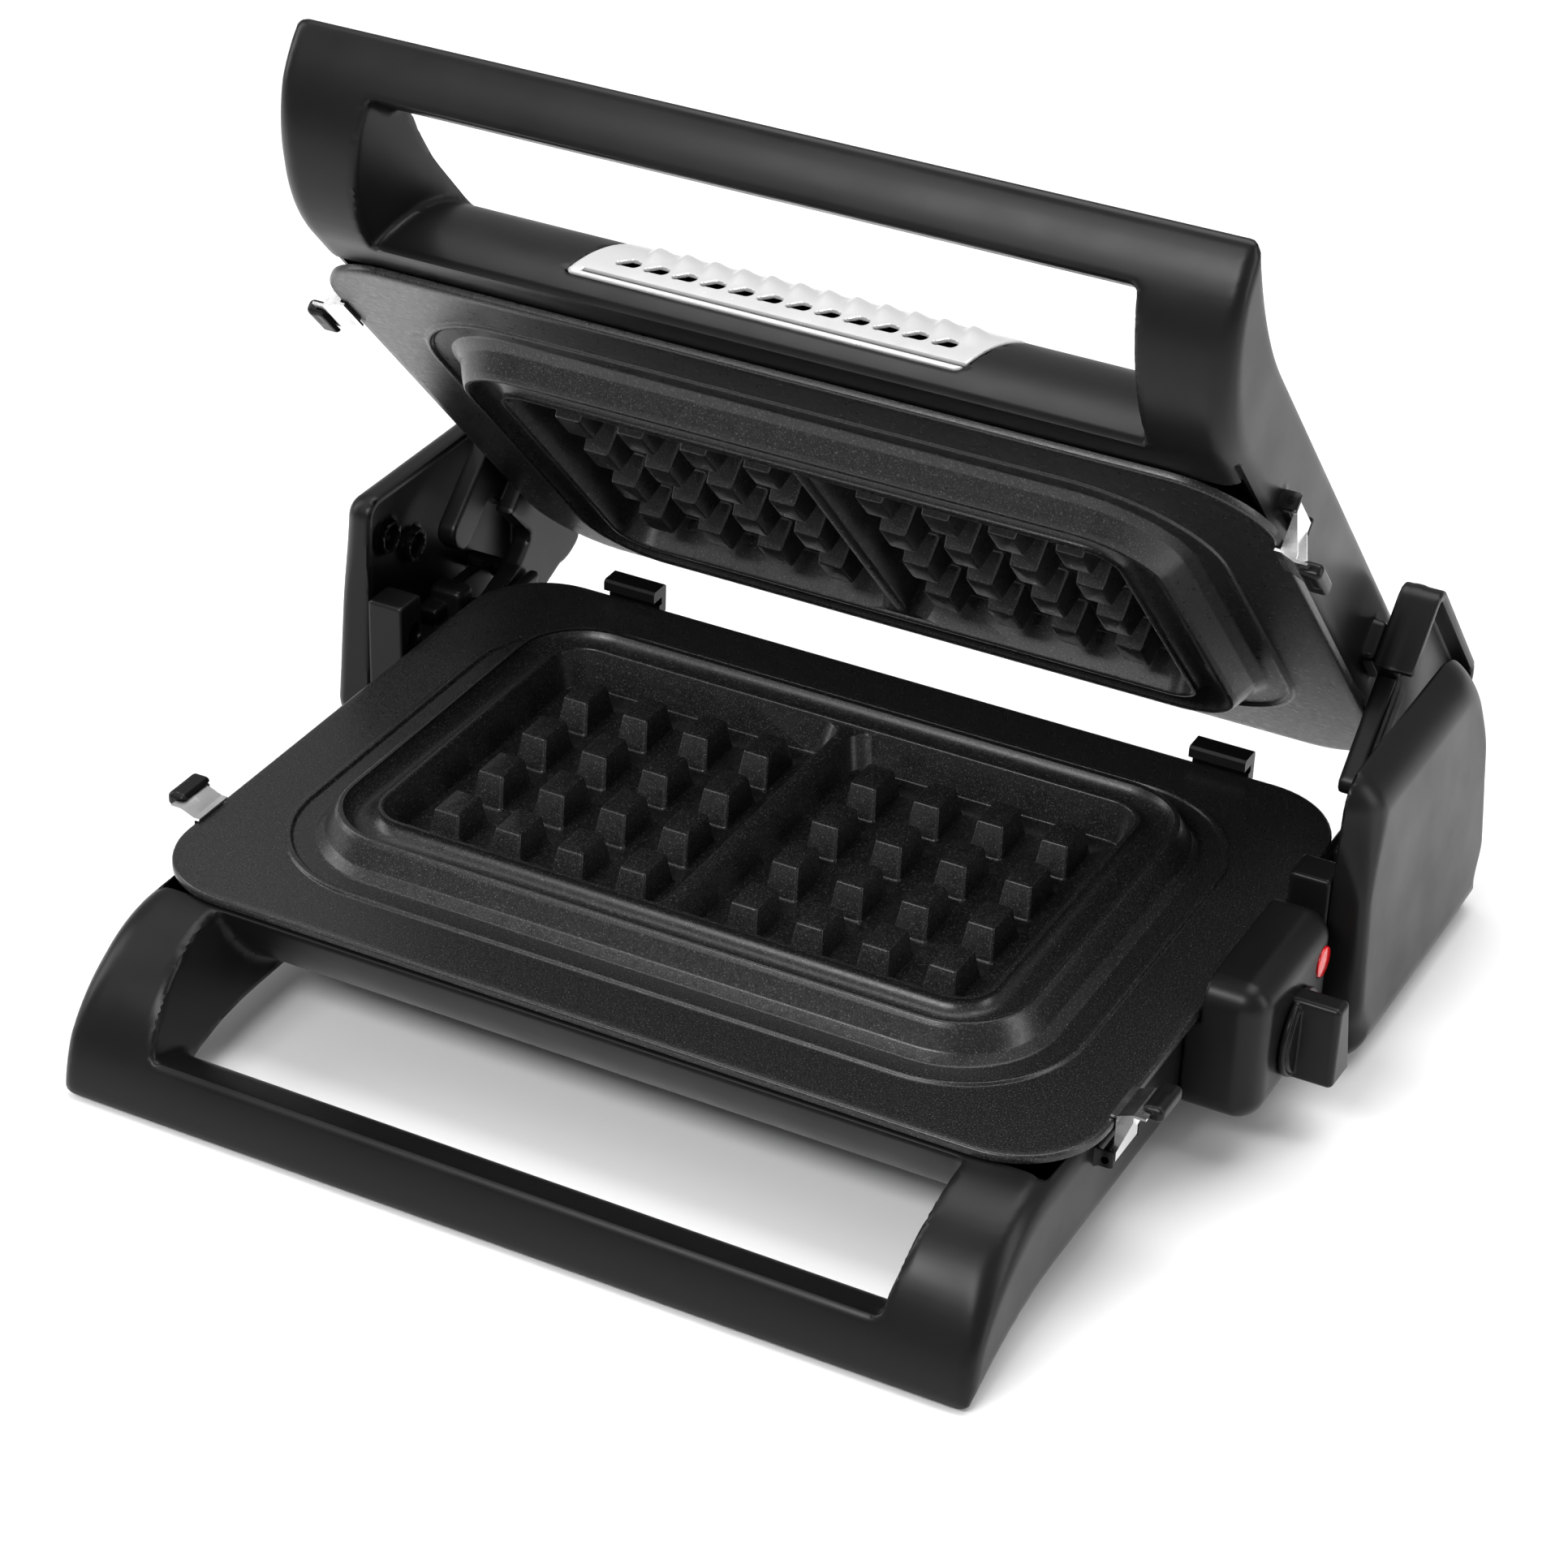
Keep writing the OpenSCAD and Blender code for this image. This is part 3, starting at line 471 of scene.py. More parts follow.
def post_field(p, front_r, top_edge):
    """Tight edges up the front and rear; top_edge is the rounding over the top."""
    x, y, z = p
    outer = (x - 176.9 + 0.05 * z) * 0.9987
    edge = 4 + 8 * fade(-z, 25, 39) + (top_edge - 4) * fade(z, 8, 40)
    cover = smax(sd_poly(y, z, post_outline(front_r)), outer, edge)
    cover = smax(cover, POST_IN - x, 0.8)
    hollow = smax(sd_poly(y, z, post_outline(front_r, WALL)), outer + WALL, edge - WALL + 0.5)
    for by, bz in POST_BOSSES:
        hollow = cut(hollow, sd_rod_x(p, POST_IN + 5, 190, by, bz, 5.8), 1.0)
    for by, bz in POST_SCREWS:
        hollow = cut(hollow, sd_rod_x(p, POST_IN + 2.3, 190, by, bz, 4.0), 0.3)
    cover = cut(cover, hollow, 0.6)
    for by, bz in POST_BOSSES:
        cover = cut(cover, sd_rod_x(p, POST_IN - 5, POST_IN + 9, by, bz, 4.2), 0.5)
    return smin(cover, sd_rod_x(p, WEB_OUT + 0.6, POST_IN + 9, *LONG_BOSS, 3.2, 0.5), 0.5)


def bracket_field(p):
    """Ledges, cheek and floor that stand between the base and a post's cover."""
    y, z = p[1], p[2]
    bottom = POST_FLOOR + 1.5
    ledge = sd_box(p, (152, POST_FRONT - 0.6, bottom), (POST_IN - 0.1, 54.4, 14.5), 1.0)
    rest = sd_box(p, (WEB_OUT + 0.4, 72, bottom), (POST_IN - 0.1, 88, -2), 1.2)
    head = sd_box(p, (152.6, 79, -9), (POST_IN - 0.1, 88, 2.5), 2.0)
    step = sd_box(p, (152, 53, bottom), (POST_IN - 0.1, 66, -12), 0.8)
    body = smin(smin(smin(ledge, rest, 0.8), head, 0.8), step, 0.8)
    cheek = sd_box(p, (SHELL_X + 0.1, 66, -35.5), (WEB_IN - 0.4, 120, -6), 1.0)
    floor = sd_box(p, (SHELL_X + 0.1, 54, -41), (POST_IN + 2.2, 142, -35.5), 1.0)
    side_plate = smax(
        sd_poly(y, z, [(54, -46.4), (146, -46.4), (146, -40), (120, -8), (110, -4), (54, -4)]),
        np.abs(p[0] - 165.3) - 1.8, 0.6)
    link = sd_box(p, (SHELL_X + 0.1, 62, -30), (POST_IN, 80, -7.5), 1.0)
    body = smin(smin(smin(smin(body, cheek, 0.8), floor, 0.8), side_plate, 0.8), link, 0.8)
    body = cut(body, sd_rod_x(p, SHELL_X, 170, *LONG_BOSS, 3.4), 0.2)
    return cut(body, sd_rod_x(p, 140, 160, 50.2, 2, 3.7), 0.4)


ARM_TOP = [(47, 32.5)] + arc(53, 56, 6, 180, 90, 8) + arc(110, 54, 7.7, 90, 20, 8)


def arm_web_outline(front):
    """The flat of a lid arm, from its front over the top and round the hinge pin."""
    return (
        ARM_TOP
        + arc(112.4, 26, 16, 0, -48, 8)
        + [(111.6, -16)]
        + arc(PIVOT[1], PIVOT[2], 13, 21, -201, 20)
        + [(88, -16), (95.4, 2)]
        + arc(91.4, 10, 4, 0, 86, 6)
        + [(front, 13.4), (front, 32.5)]
    )


PRONG_FRONT, PRONG_END = 55.4, -1.2


def prong_outline(width, tip_r, reach):
    """A round-ended prong that hangs from the arm's front."""
    rear = PRONG_FRONT + width
    return (
        [(PRONG_FRONT + reach, 33), (PRONG_FRONT, 33)]
        + arc(PRONG_FRONT + tip_r, PRONG_END, tip_r, 180, 270, 8)
        + arc(rear - tip_r, PRONG_END, tip_r, 270, 360, 8)
        + [(rear, 12.5)]
        + arc(rear + 4, 12.5, 4, 180, 90, 6)
        + [(PRONG_FRONT + reach, 17)]
    )


def arm_rim_outline():
    """The raised lip along the arm's front and top."""
    return (
        ARM_TOP
        + [(122.6, 42), (119.6, 41)]
        + arc(110, 54, 4.6, 16, 90, 6)
        + arc(53, 55.6, 3, 90, 180, 6)
        + [(50, 32.5)]
    )


def arm_field(p, outer_prong):
    """The right arm's prong is on its web, the left arm's is one layer further out."""
    x, y, z = p
    web_layer = np.abs(x - (WEB_IN + WEB_OUT) / 2) - (WEB_OUT - WEB_IN) / 2
    cap_layer = np.abs(x - (WEB_OUT - 0.5 + CAP_OUT) / 2) - (CAP_OUT - WEB_OUT + 0.5) / 2
    web = smax(sd_poly(y, z, arm_web_outline(76 if outer_prong else 61)), web_layer, 0.9)
    prong = sd_poly(y, z, prong_outline(13.6, 5.2, 28) if outer_prong else prong_outline(7.2, 3.6, 14))
    prong = smax(prong, cap_layer if outer_prong else web_layer, 0.9)
    rim = smax(sd_poly(y, z, arm_rim_outline()), np.abs(x - 158.3) - 4.9, 0.9)
    hub = sd_rod_x(p, WEB_OUT - 2, CAP_OUT, PIVOT[1], PIVOT[2], 9, 1.0)
    arm = smin(smin(smin(web, prong, 0.3), rim, 0.8), hub, 1.2)
    for bz in (37.5, 43.5):
        arm = cut(arm, sd_rod_x(p, WEB_OUT - 2.2, WEB_OUT + 2, 56, bz, 3.3), 0.4)
    return arm


# ---------- controls ----------

def control_box_field(p):
    """A round-edged box, notched for the plate's flange and bored for the lens."""
    x, y, z = p
    box = smax(sd_rect(y, z, BOX_FRONT, BOX_REAR, BOX_FLOOR, 10, 8), x - BOX_OUT, 8.5)
    box = smax(box, SHELL_X + 0.1 - x, 0.8)
    box = cut(box, sd_box(p, (130, -30, -3.4), (150.8, 60, 30), 0.3), 0.6)
    return cut(box, sd_rod_x(p, BOX_OUT - 3, BOX_OUT + 9, LENS_Y, LENS_Z, LENS_R + 0.12), 0.25)


def lens_field(p):
    dome = np.sqrt((p[0] - BOX_OUT + 21.2) ** 2 + (p[1] - LENS_Y) ** 2 + (p[2] - LENS_Z) ** 2) - 22.2
    return smax(sd_rod_x(p, BOX_OUT - 2.4, BOX_OUT + 2, LENS_Y, LENS_Z, LENS_R), dome, 0.3)


def knob_field(p):
    """A round flange with a wedge grip, set a few degrees off upright."""
    x, y, z = p
    disc = sd_rod_x(p, BOX_OUT + 0.4, BOX_OUT + 2.4, KNOB_Y, KNOB_Z, KNOB_R, 0.6)
    boss = sd_rod_x(p, BOX_OUT + 1, BOX_OUT + 3.2, KNOB_Y, KNOB_Z, KNOB_R - 1.6, 0.5)
    grip = sd_poly(y, z, [(5.9, -27.4), (16.8, -28.0), (11.1, -3.8), (6.6, -3.8)])
    grip = smax(grip - 1.6, np.abs(x - 176) - 8.4, 1.8)
    return smin(smin(disc, boss, 0.3), grip, 0.5)


def clip_tab_field(p):
    """A rounded finger tab pushed over the end of a clip."""
    tab = sd_box(p, (156.1, -73.8, 0.1), (162.6, -59.2, 4.8), 1.7)
    grip = sd_rod_x([p[1], p[0], p[2]], -73, -65, 160.2, 3.4, 1.55, 1.0)
    return cut(smin(tab, grip, 0.5), sd_box(p, (150, -80, 2.0), (159.1, -50, 3.2), 0.1), 0.2)


# ---------- materials ----------

def new_material(name):
    material = bpy.data.materials.new(name)
    material.use_nodes = True
    tree = material.node_tree
    return material, tree, tree.nodes["Principled BSDF"]


def noise(tree, scale, detail, roughness=0.5):
    """Noise fixed to the piece; scale is in cells per metre."""
    coords = tree.nodes.new("ShaderNodeTexCoord")
    node = tree.nodes.new("ShaderNodeTexNoise")
    node.inputs["Scale"].default_value = scale
    node.inputs["Detail"].default_value = detail
    node.inputs["Roughness"].default_value = roughness
    tree.links.new(coords.outputs["Object"], node.inputs["Vector"])
    return node.outputs["Fac"]


def ramp(tree, source, stops):
    """stops: (position, colour), from the lowest to the highest."""
    node = tree.nodes.new("ShaderNodeValToRGB")
    first, last = stops[0], stops[-1]
    node.color_ramp.elements[0].position = first[0]
    node.color_ramp.elements[0].color = first[1]
    node.color_ramp.elements[1].position = last[0]
    node.color_ramp.elements[1].color = last[1]
    for position, colour in stops[1:-1]:
        node.color_ramp.elements.new(position).color = colour
    tree.links.new(source, node.inputs["Fac"])
    return node.outputs["Color"]


def grey(v):
    return (v, v, v, 1)


def bump(tree, shader, sources):
    """sources: (height, strength, distance in mm), laid one on another."""
    last = None
    for height, strength, distance in sources:
        node = tree.nodes.new("ShaderNodeBump")
        node.inputs["Strength"].default_value = strength
        node.inputs["Distance"].default_value = distance * MM
        tree.links.new(height, node.inputs["Height"])
        if last:
            tree.links.new(last, node.inputs["Normal"])
        last = node.outputs["Normal"]
    tree.links.new(last, shader.inputs["Normal"])


def satin_plastic(name, tone, rough):
    """Moulded plastic with a fine grain and a slightly uneven gloss."""
    material, tree, shader = new_material(name)
    cloud = noise(tree, 9, 4)
    colour = ramp(tree, cloud, [(0.3, grey(tone * 0.85)), (0.7, grey(tone * 1.2))])
    tree.links.new(colour, shader.inputs["Base Color"])
    gloss = ramp(tree, noise(tree, 40, 5), [(0.3, grey(rough - 0.04)), (0.7, grey(rough + 0.05))])
    tree.links.new(gloss, shader.inputs["Roughness"])
    shader.inputs["Specular IOR Level"].default_value = 0.2
    bump(tree, shader, [(noise(tree, 1500, 2), 0.10, 0.05), (noise(tree, 60, 2), 0.04, 0.2)])
    return material


def nonstick(name):
    """Dark coating over blasted aluminium: fine glitter on every slope."""
    material, tree, shader = new_material(name)
    speck = noise(tree, 2000, 2, 0.75)
    colour = ramp(tree, speck, [(0.45, grey(0.007)), (0.6, grey(0.016)), (0.72, grey(0.1))])
    tree.links.new(colour, shader.inputs["Base Color"])
    gloss = ramp(tree, noise(tree, 500, 3), [(0.3, grey(0.26)), (0.7, grey(0.36))])
    tree.links.new(gloss, shader.inputs["Roughness"])
    shader.inputs["Specular IOR Level"].default_value = 0.4
    bump(tree, shader, [(speck, 0.6, 0.05), (noise(tree, 300, 3), 0.05, 0.1)])
    return material


def metal(name, tone, rough):
    """Bare metal with fine drawing marks."""
    material, tree, shader = new_material(name)
    cloud = noise(tree, 30, 3)
    colour = ramp(tree, cloud, [(0.3, grey(tone * 0.94)), (0.7, grey(min(1.0, tone * 1.04)))])
    tree.links.new(colour, shader.inputs["Base Color"])
    gloss = ramp(tree, noise(tree, 120, 4), [(0.3, grey(rough * 0.8)), (0.7, grey(rough * 1.25))])
    tree.links.new(gloss, shader.inputs["Roughness"])
    shader.inputs["Metallic"].default_value = 1.0
    bump(tree, shader, [(noise(tree, 900, 2), 0.12, 0.03)])
    return material


def painted_reflection_chrome(name):
    """Chrome with its reflection painted in: a pale base colour, bright from every side, stands in for the
    white studio it mirrors, with a soft sheen.
    """
    material, tree, shader = new_material(name)
    # painted reflection: this pale base colour stands in for the white surroundings mirrored by the chrome
    colour = ramp(tree, noise(tree, 40, 3), [(0.3, grey(0.54)), (0.7, grey(0.58))])
    tree.links.new(colour, shader.inputs["Base Color"])
    gloss = ramp(tree, noise(tree, 150, 4), [(0.3, grey(0.2)), (0.7, grey(0.28))])
    tree.links.new(gloss, shader.inputs["Roughness"])
    shader.inputs["Metallic"].default_value = 0.25
    return material


def red_lens_material(name):
    material, tree, shader = new_material(name)
    colour = ramp(tree, noise(tree, 300, 2), [(0.3, (0.62, 0.0, 0.005, 1)), (0.7, (0.78, 0.004, 0.01, 1))])
    tree.links.new(colour, shader.inputs["Base Color"])
    tree.links.new(ramp(tree, noise(tree, 200, 2), [(0.3, grey(0.12)), (0.7, grey(0.2))]),
                   shader.inputs["Roughness"])
    shader.inputs["Coat Weight"].default_value = 0.6
    bump(tree, shader, [(noise(tree, 500, 2), 0.03, 0.05)])
    return material


def ceramic_material(name):
    material, tree, shader = new_material(name)
    colour = ramp(tree, noise(tree, 60, 3), [(0.3, (0.66, 0.62, 0.52, 1)), (0.7, (0.74, 0.70, 0.6, 1))])
    tree.links.new(colour, shader.inputs["Base Color"])
    tree.links.new(ramp(tree, noise(tree, 200, 2), [(0.3, grey(0.3)), (0.7, grey(0.4))]),
                   shader.inputs["Roughness"])
    bump(tree, shader, [(noise(tree, 500, 2), 0.05, 0.05)])
    return material


SATIN = satin_plastic("satin_black_plastic", 0.005, 0.33)
COATING = nonstick("nonstick_coating")
CHROME = painted_reflection_chrome("grille_chrome")
BRUSHED = metal("brushed_strip", 0.9, 0.24)
ZINC = metal("zinc_steel", 0.55, 0.28)
SHEATH = metal("element_sheath", 0.3, 0.42)
TRAY = metal("tray_sheet", 0.6, 0.3)
CERAMIC = ceramic_material("ceramic")
LENS = red_lens_material("red_lens")
RUBBER = satin_plastic("soft_rubber", 0.012, 0.7)
SLOT_MATERIALS = {"satin_black_plastic": SATIN, "nonstick_coating": COATING, "grille_chrome": CHROME,
                  "brushed_strip": BRUSHED, "zinc_steel": ZINC, "element_sheath": SHEATH,
                  "tray_sheet": TRAY, "ceramic": CERAMIC, "red_lens": LENS, "lamp_glass": LENS,
                  "soft_rubber": RUBBER}


# ---------- waffle plates ----------

# half sizes that every loop's radius is added to
CORE_X, CORE_Y = 89.1, 48.7
# loop radii of the inner lip, the outer lip and the foot of the outer slope
LIP2_R, LIP1_R, FOOT_R = 11.0, 22.6, 32.0
PLATE_HX, PLATE_HY, PLATE_R = 150.0, 108.75, 28.0
FLOOR_Z, UNDER_Z, FLANGE_T = -2.8, -5.6, 2.6
# foot and top of the cavity wall
WALL_FOOT_R, WALL_TOP_R = 7.4, LIP2_R - 0.5
TEETH, POCKET_MID = 4, 50.2
PITCH_X, PITCH_Y = 21.2, 25.6
TOOTH_HX, TOOTH_HY, TOOTH_TOP = 4.25, 6.55, 7.6
TOOTH_DRAFT_X, TOOTH_DRAFT_Y = 1.3, 2.8
DIVIDER_TOP, DIVIDER_HX, DIVIDER_FOOT = 8.8, 2.2, 4.6
POCKET_CORNER = 6.0
# points on each quarter turn and each side of a loop
LOOP_TURN = 14
LOOP_SIDE = 6


def round_loop(hx, hy, r, z):
    """Points round a rounded rectangle: the same count for every size."""
    corners = []
    for sx, sy, start in ((1, 1, 0), (-1, 1, 90), (-1, -1, 180), (1, -1, 270)):
        corners.append(arc(sx * (hx - r), sy * (hy - r), r, start, start + 90, LOOP_TURN))
    outline = []
    for corner, following in zip(corners, corners[1:] + corners[:1]):
        (ax, ay), (bx, by) = corner[-1], following[0]
        side = np.linspace(0, 1, LOOP_SIDE + 2)[1:-1]
        outline += corner + [(ax + (bx - ax) * t, ay + (by - ay) * t) for t in side]
    return [(x, y, z) for x, y in outline]


def stack(loops):
    """Skin over a list of loops of equal length, capped at both ends."""
    n = len(loops[0])
    points = [p for loop in loops for p in loop]
    faces = []
    for k in range(len(loops) - 1):
        for i in range(n):
            j = (i + 1) % n
            faces.append((k * n + i, k * n + j, (k + 1) * n + j, (k + 1) * n + i))
    faces.append(tuple(range(n))[::-1])
    faces.append(tuple((len(loops) - 1) * n + i for i in range(n)))
    return points, faces


def rounded_path(corners, radius, steps=4):
    """An open outline with its inner corners replaced by small arcs."""
    path = [corners[0]]
    for a, b, c in zip(corners, corners[1:], corners[2:]):
        u = Vector(a) - Vector(b)
        v = Vector(c) - Vector(b)
        turn = math.pi - u.angle(v)
        if turn < 0.05:
            path.append(b)
            continue
        reach = min(radius * math.tan(turn / 2), 0.45 * u.length, 0.45 * v.length)
        p0, p1 = Vector(b) + u.normalized() * reach, Vector(b) + v.normalized() * reach
        for t in np.linspace(0, 1, steps + 1):
            path.append(tuple(p0.lerp(Vector(b), t).lerp(Vector(b).lerp(p1, t), t)))
    path.append(corners[-1])
    return path


def plate_section():
    """(loop radius, z) from the cavity floor out to the flange, top side."""
    crest = LIP2_R + 1.3
    gutter_mid = (LIP1_R + crest) / 2
    gutter = arc(gutter_mid, LIP_H + 1.6, 6.2, 204, 336, 12)
    wall = rounded_path(
        [(5.0, FLOOR_Z), (WALL_FOOT_R, FLOOR_Z), (WALL_TOP_R, LIP_H), (crest, LIP_H)], 1.0, 5)
    shoulder = rounded_path(
        [(LIP1_R, LIP_H), (LIP1_R + 1.3, LIP_H), (LIP1_R + 2.4, LIP_H - 1.6), (LIP1_R + 5.6, 2.6),
         (FOOT_R - 0.6, 0.0), (FOOT_R + 3, 0.0)], 2.2, 6)
    bead = rounded_path(
        [(36.6, 0.0), (37.6, 0.0), (38.2, 0.95), (39.6, 0.95), (40.2, 0.0), (41.2, 0.0)], 0.7, 4)
    return wall[:-1] + [(crest - 0.25, LIP_H - 0.1)] + gutter + shoulder[:-1] + bead


def core_loop(r, z):
    """A loop of corner radius r, at the same distance from the core all round."""
    return round_loop(CORE_X + r, CORE_Y + r, r, z)


def waffle_plate_body():
    """The cast plate without teeth: over the top, round the flange's edge and back below."""
    edge = ((3.0, 0.0), (0.9, 0.0), (0.25, -0.25), (0.0, -0.9), (0.0, -2.4), (0.4, -FLANGE_T))
    under = ((FOOT_R - 4, -FLANGE_T), (LIP1_R + 1, LIP_H - 5.6),
             (LIP2_R + 2.6, LIP_H - 7), (LIP2_R + 2, UNDER_Z))
    loops = [core_loop(r, z) for r, z in plate_section()]
    loops += [round_loop(PLATE_HX - n, PLATE_HY - n, PLATE_R - n, z) for n, z in edge]
    loops += [core_loop(r, z) for r, z in under]
    return stack(loops)


def pocket_tooth(cx, cy):
    """A drafted tooth, flared where it meets the floor and eased at its top."""
    loops = []
    sections = [(0.7, FLOOR_Z - 0.6), (0.7, FLOOR_Z), (0.2, FLOOR_Z + 0.25), (0.0, FLOOR_Z + 0.9)]
    sections += [(0.0, TOOTH_TOP - 0.5), (-0.13, TOOTH_TOP - 0.16), (-0.5, TOOTH_TOP)]
    for spread, z in sections:
        drop = (TOOTH_TOP - z) / (TOOTH_TOP - FLOOR_Z)
        hx = TOOTH_HX + TOOTH_DRAFT_X * drop + spread
        hy = TOOTH_HY + TOOTH_DRAFT_Y * drop + spread
        loops.append(round_loop(hx, hy, 0.8 + 0.6 * drop, z))
    points, faces = stack(loops)
    return [(x + cx, y + cy, z) for x, y, z in points], faces


def pocket_hollow(side):
    """What one waffle pocket takes out of the divider block, its corners round."""
    wall = (WALL_TOP_R - WALL_FOOT_R) / (LIP_H - FLOOR_Z)
    lean = (DIVIDER_FOOT - DIVIDER_HX) / (DIVIDER_TOP - FLOOR_Z)
    sections = [(-1.0, FLOOR_Z - 0.02), (-0.3, FLOOR_Z + 0.3), (0.0, FLOOR_Z + 1.0)]
    sections += [(0.0, DIVIDER_TOP - 0.9), (0.26, DIVIDER_TOP - 0.26), (0.9, DIVIDER_TOP)]
    sections += [(1.2, DIVIDER_TOP + 1)]
    loops = []
    for spread, z in sections:
        inner = DIVIDER_HX + lean * (DIVIDER_TOP - z) - spread
        outer = CORE_X + WALL_FOOT_R
        hy = CORE_Y + WALL_FOOT_R + 0.02 + wall * (z - FLOOR_Z) + spread
        loop = round_loop((outer - inner) / 2, hy, POCKET_CORNER, z)
        loops.append([(side * (x + (outer + inner) / 2), y, h) for x, y, h in loop])
    return stack(loops)


def divider():
    """The wall between the two pockets, filleted into the cavity walls."""
    reach = CORE_Y + LIP2_R + 0.3
    hx = 14.0
    block = stack([[(-hx, -reach, z), (hx, -reach, z), (hx, reach, z), (-hx, reach, z)]
                   for z in (UNDER_Z + 1, DIVIDER_TOP)])
    return join_solids("divider", [block, pocket_hollow(-1), pocket_hollow(1)], "DIFFERENCE")


def solid(name, points, faces):
    """A scratch object whose faces all look outwards."""
    mesh = bpy.data.meshes.new(name)
    mesh.from_pydata(points, [], faces)
    work = bmesh.new()
    work.from_mesh(mesh)
    bmesh.ops.recalc_face_normals(work, faces=work.faces)
    work.to_mesh(mesh)
    work.free()
    thing = bpy.data.objects.new(name, mesh)
    bpy.context.scene.collection.objects.link(thing)
    return thing


def join_solids(name, solids, operation="UNION"):
    """Boolean of the first closed solid with the others; returns its points and faces."""
    host = solid(name + "_host", *solids[0])
    group = bpy.data.collections.new(name + "_parts")
    others = [solid(f"{name}_{i}", *s) for i, s in enumerate(solids[1:])]
    for other in others:
        group.objects.link(other)
    joint = host.modifiers.new("joint", "BOOLEAN")
    joint.operation = operation
    joint.operand_type = "COLLECTION"
    joint.collection = group
    joint.solver = "MANIFOLD"
    shape = host.evaluated_get(bpy.context.evaluated_depsgraph_get()).to_mesh()
    points = np.array([v.co for v in shape.vertices])
    faces = [tuple(f.vertices) for f in shape.polygons]
    for thing in others + [host]:
        bpy.data.objects.remove(thing)
    bpy.data.collections.remove(group)
    return points, faces


def plate_shape():
    """One plate: its body, the divider and two pockets of teeth."""
    solids = [waffle_plate_body(), divider()]
    steps = [i - (TEETH - 1) / 2 for i in range(TEETH)]
    for s in (-1, 1):
        for i in steps:
            for j in steps:
                solids.append(pocket_tooth(s * POCKET_MID + i * PITCH_X, j * PITCH_Y))
    return join_solids("waffle_plate", solids)


def build_plates():
    points, faces = plate_shape()
    for half, place in (("lower", place_base), ("upper", place_lid)):
        plate = make_piece(half + "_plate", place(points), faces, place is place_lid, sharp=50)
        dress(plate, "base" if half == "lower" else "lid", "nonstick_coating", COATING,
              half + "_waffle_plate")


# ---------- everything put together ----------

def build_housings():
    base = sdf_piece("base_housing", base_field, (-152, -158, -51), (152, 124, 1), 1.6, place_base)
    dress(base, "base", "satin_black_plastic", SATIN, "base_shell")
    lid = sdf_piece("lid_housing", lid_field, (-152, -170, -51), (152, 112, 1), 1.4, place_lid)
    dress(lid, "lid", "satin_black_plastic", SATIN, "lid_shell")
    grille = sdf_piece("grille", grille_field, (-64, -124, -42), (68, -86, -4), 0.45, place_lid)
    dress(grille, "lid", "grille_chrome", CHROME, "vent_grille")


def build_hinges():
    for side, s in (("left", -1), ("right", 1)):
        front_r, top_edge = POST_CORNERS[side]
        field = partial(post_field, front_r=front_r, top_edge=top_edge)
        cover = sdf_piece("post_" + side, field, (157, 42, -50), (181, 156, 49), 1.1, place_base, s)
        dress(cover, "base", "satin_black_plastic", SATIN, "post_cover_" + side)
        low, high = (145, 42, -49), (168, 148, 16)
        bracket = sdf_piece("bracket_" + side, bracket_field, low, high, 0.9, place_base, s)
        dress(bracket, "base", "satin_black_plastic", SATIN, "hinge_bracket_" + side)
        field = partial(arm_field, outer_prong=side == "left")
        arm = sdf_piece("arm_" + side, field, (150, 46, -35), (164, 130, 63), 0.8, place_arm, s)
        dress(arm, "lid", "satin_black_plastic", SATIN, "lid_arm_" + side)


def build_controls():
    box = sdf_piece("control_housing", control_box_field, (146, -19, -37), (170, 40, 11), 0.6, place_base)
    dress(box, "base", "satin_black_plastic", SATIN, "control_box")
    lens = sdf_piece("lens", lens_field, (166, 24, -9), (171, 35, 2), 0.3, place_base)
    dress(lens, "base", "red_lens", LENS, "indicator_lens")
    knob = sdf_piece("knob", knob_field, (169, -5, -32), (185, 25, -1), 0.4, place_base)
    dress(knob, "knob", "satin_black_plastic", SATIN, "control_knob")


def build_clip_tabs():
    for half, place in (("lower", place_base), ("upper", place_lid)):
        for side, s in (("left", -1), ("right", 1)):
            name = f"{half}_clip_tab_{side}"
            tab = sdf_piece("finger_" + name, clip_tab_field, (155, -75, -1), (164, -58, 6), 0.4, place, s)
            dress(tab, frame["nodes"][name]["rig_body"], "satin_black_plastic", SATIN, name)


def finish_cad_nodes():
    """Every CAD node gets its slot's material; the rear hooks' edges are softened."""
    slots = {s["node"]: s["material_slot"] for s in frame["record"]["subparts"]}
    for name, node in frame["nodes"].items():
        node.data.materials.clear()
        node.data.materials.append(SLOT_MATERIALS[slots[name]])
    soften = frame["nodes"]["rear_plate_hooks"].modifiers.new("soft edges", "BEVEL")
    soften.width = 0.45 * MM
    soften.segments = 3
    soften.limit_method = "ANGLE"
    soften.angle_limit = math.radians(35)


# ---------- studio ----------

CAMERA_AT = (479.1, -949.1, 670.6)
CAMERA_AZIMUTH, CAMERA_DROP, CAMERA_ROLL = 26.42, 31.48, 2.157
CAMERA_LENS = 96.37
WORLD_STRENGTH = 0.36
FLOOR_HALF = 6.0


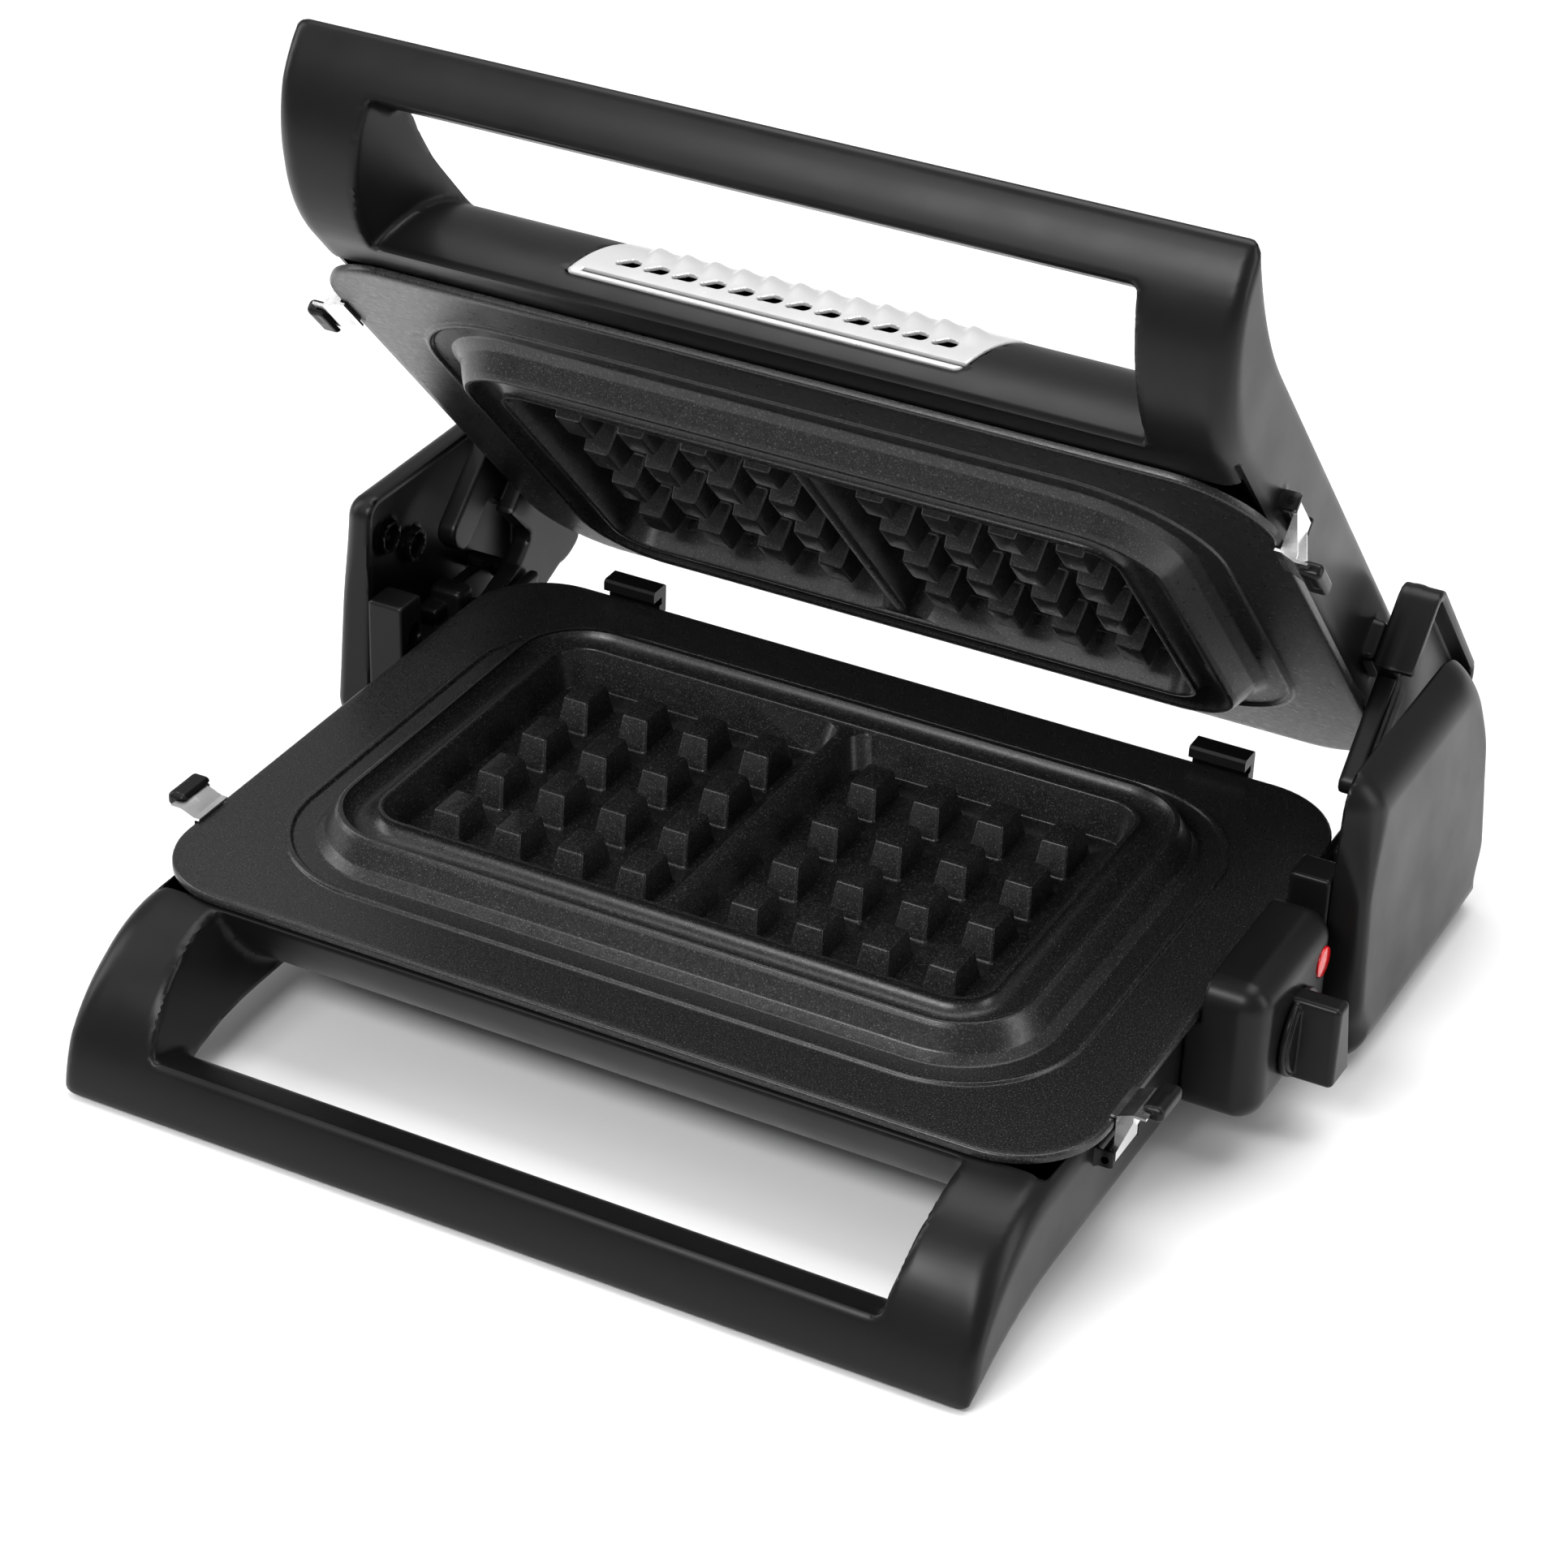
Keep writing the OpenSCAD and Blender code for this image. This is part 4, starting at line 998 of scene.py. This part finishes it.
def set_camera():
    """The place is in machine millimetres, the turns are in degrees."""
    data = bpy.data.cameras.new("camera")
    data.lens = CAMERA_LENS
    data.sensor_width = 36
    data.clip_end = 20
    camera = bpy.data.objects.new("camera", data)
    bpy.context.scene.collection.objects.link(camera)
    az, el, roll = (math.radians(a) for a in (CAMERA_AZIMUTH, CAMERA_DROP, CAMERA_ROLL))
    ahead = Vector((-math.sin(az) * math.cos(el), math.cos(az) * math.cos(el), -math.sin(el)))
    level = ahead.cross(Vector((0, 0, 1))).normalized()
    right = level * math.cos(roll) + level.cross(ahead) * math.sin(roll)
    up = right.cross(ahead)
    matrix = Matrix((right, up, -ahead)).transposed().to_4x4()
    matrix.translation = Vector(place_base(np.array(CAMERA_AT)))
    camera.matrix_world = matrix
    bpy.context.scene.camera = camera


def softbox(name, at, target, size, power):
    """A rectangular area light; places and sizes in metres, power in watts."""
    data = bpy.data.lights.new(name, "AREA")
    data.shape = "RECTANGLE"
    data.size, data.size_y = size
    data.energy = power
    light = bpy.data.objects.new(name, data)
    light.location = at
    light.rotation_euler = (Vector(target) - Vector(at)).to_track_quat("-Z", "Y").to_euler()
    bpy.context.scene.collection.objects.link(light)


def set_lights():
    softbox("overhead", (0.0, 0.4, 1.7), (0, 0, 0), (1.8, 1.2), 31)
    softbox("front_top", (-0.2, -1.3, 1.3), (0, 0, 0.05), (0.9, 0.4), 22)
    softbox("left", (-1.5, -0.3, 0.9), (0, 0, 0.1), (0.6, 1.4), 12)
    softbox("right", (1.6, 0.2, 0.7), (0, 0, 0.1), (0.5, 1.2), 9)
    world = bpy.data.worlds.new("world")
    bpy.context.scene.world = world
    world.use_nodes = True
    back = world.node_tree.nodes["Background"]
    back.inputs["Color"].default_value = (1, 1, 1, 1)
    back.inputs["Strength"].default_value = WORLD_STRENGTH


def set_floor():
    mesh = bpy.data.meshes.new("floor")
    s = FLOOR_HALF
    mesh.from_pydata([(-s, -s, 0), (s, -s, 0), (s, s, 0), (-s, s, 0)], [], [(0, 1, 2, 3)])
    floor = bpy.data.objects.new("floor", mesh)
    bpy.context.scene.collection.objects.link(floor)
    material, tree, shader = new_material("floor")
    tree.links.new(ramp(tree, noise(tree, 3, 2), [(0.3, grey(0.9)), (0.7, grey(0.92))]),
                   shader.inputs["Base Color"])
    shader.inputs["Roughness"].default_value = 0.22
    mesh.materials.append(material)


finish_cad_nodes()
build_plates()
build_housings()
build_hinges()
build_controls()
build_clip_tabs()
set_camera()
set_lights()
set_floor()
bpy.context.scene.view_settings.view_transform = "Standard"
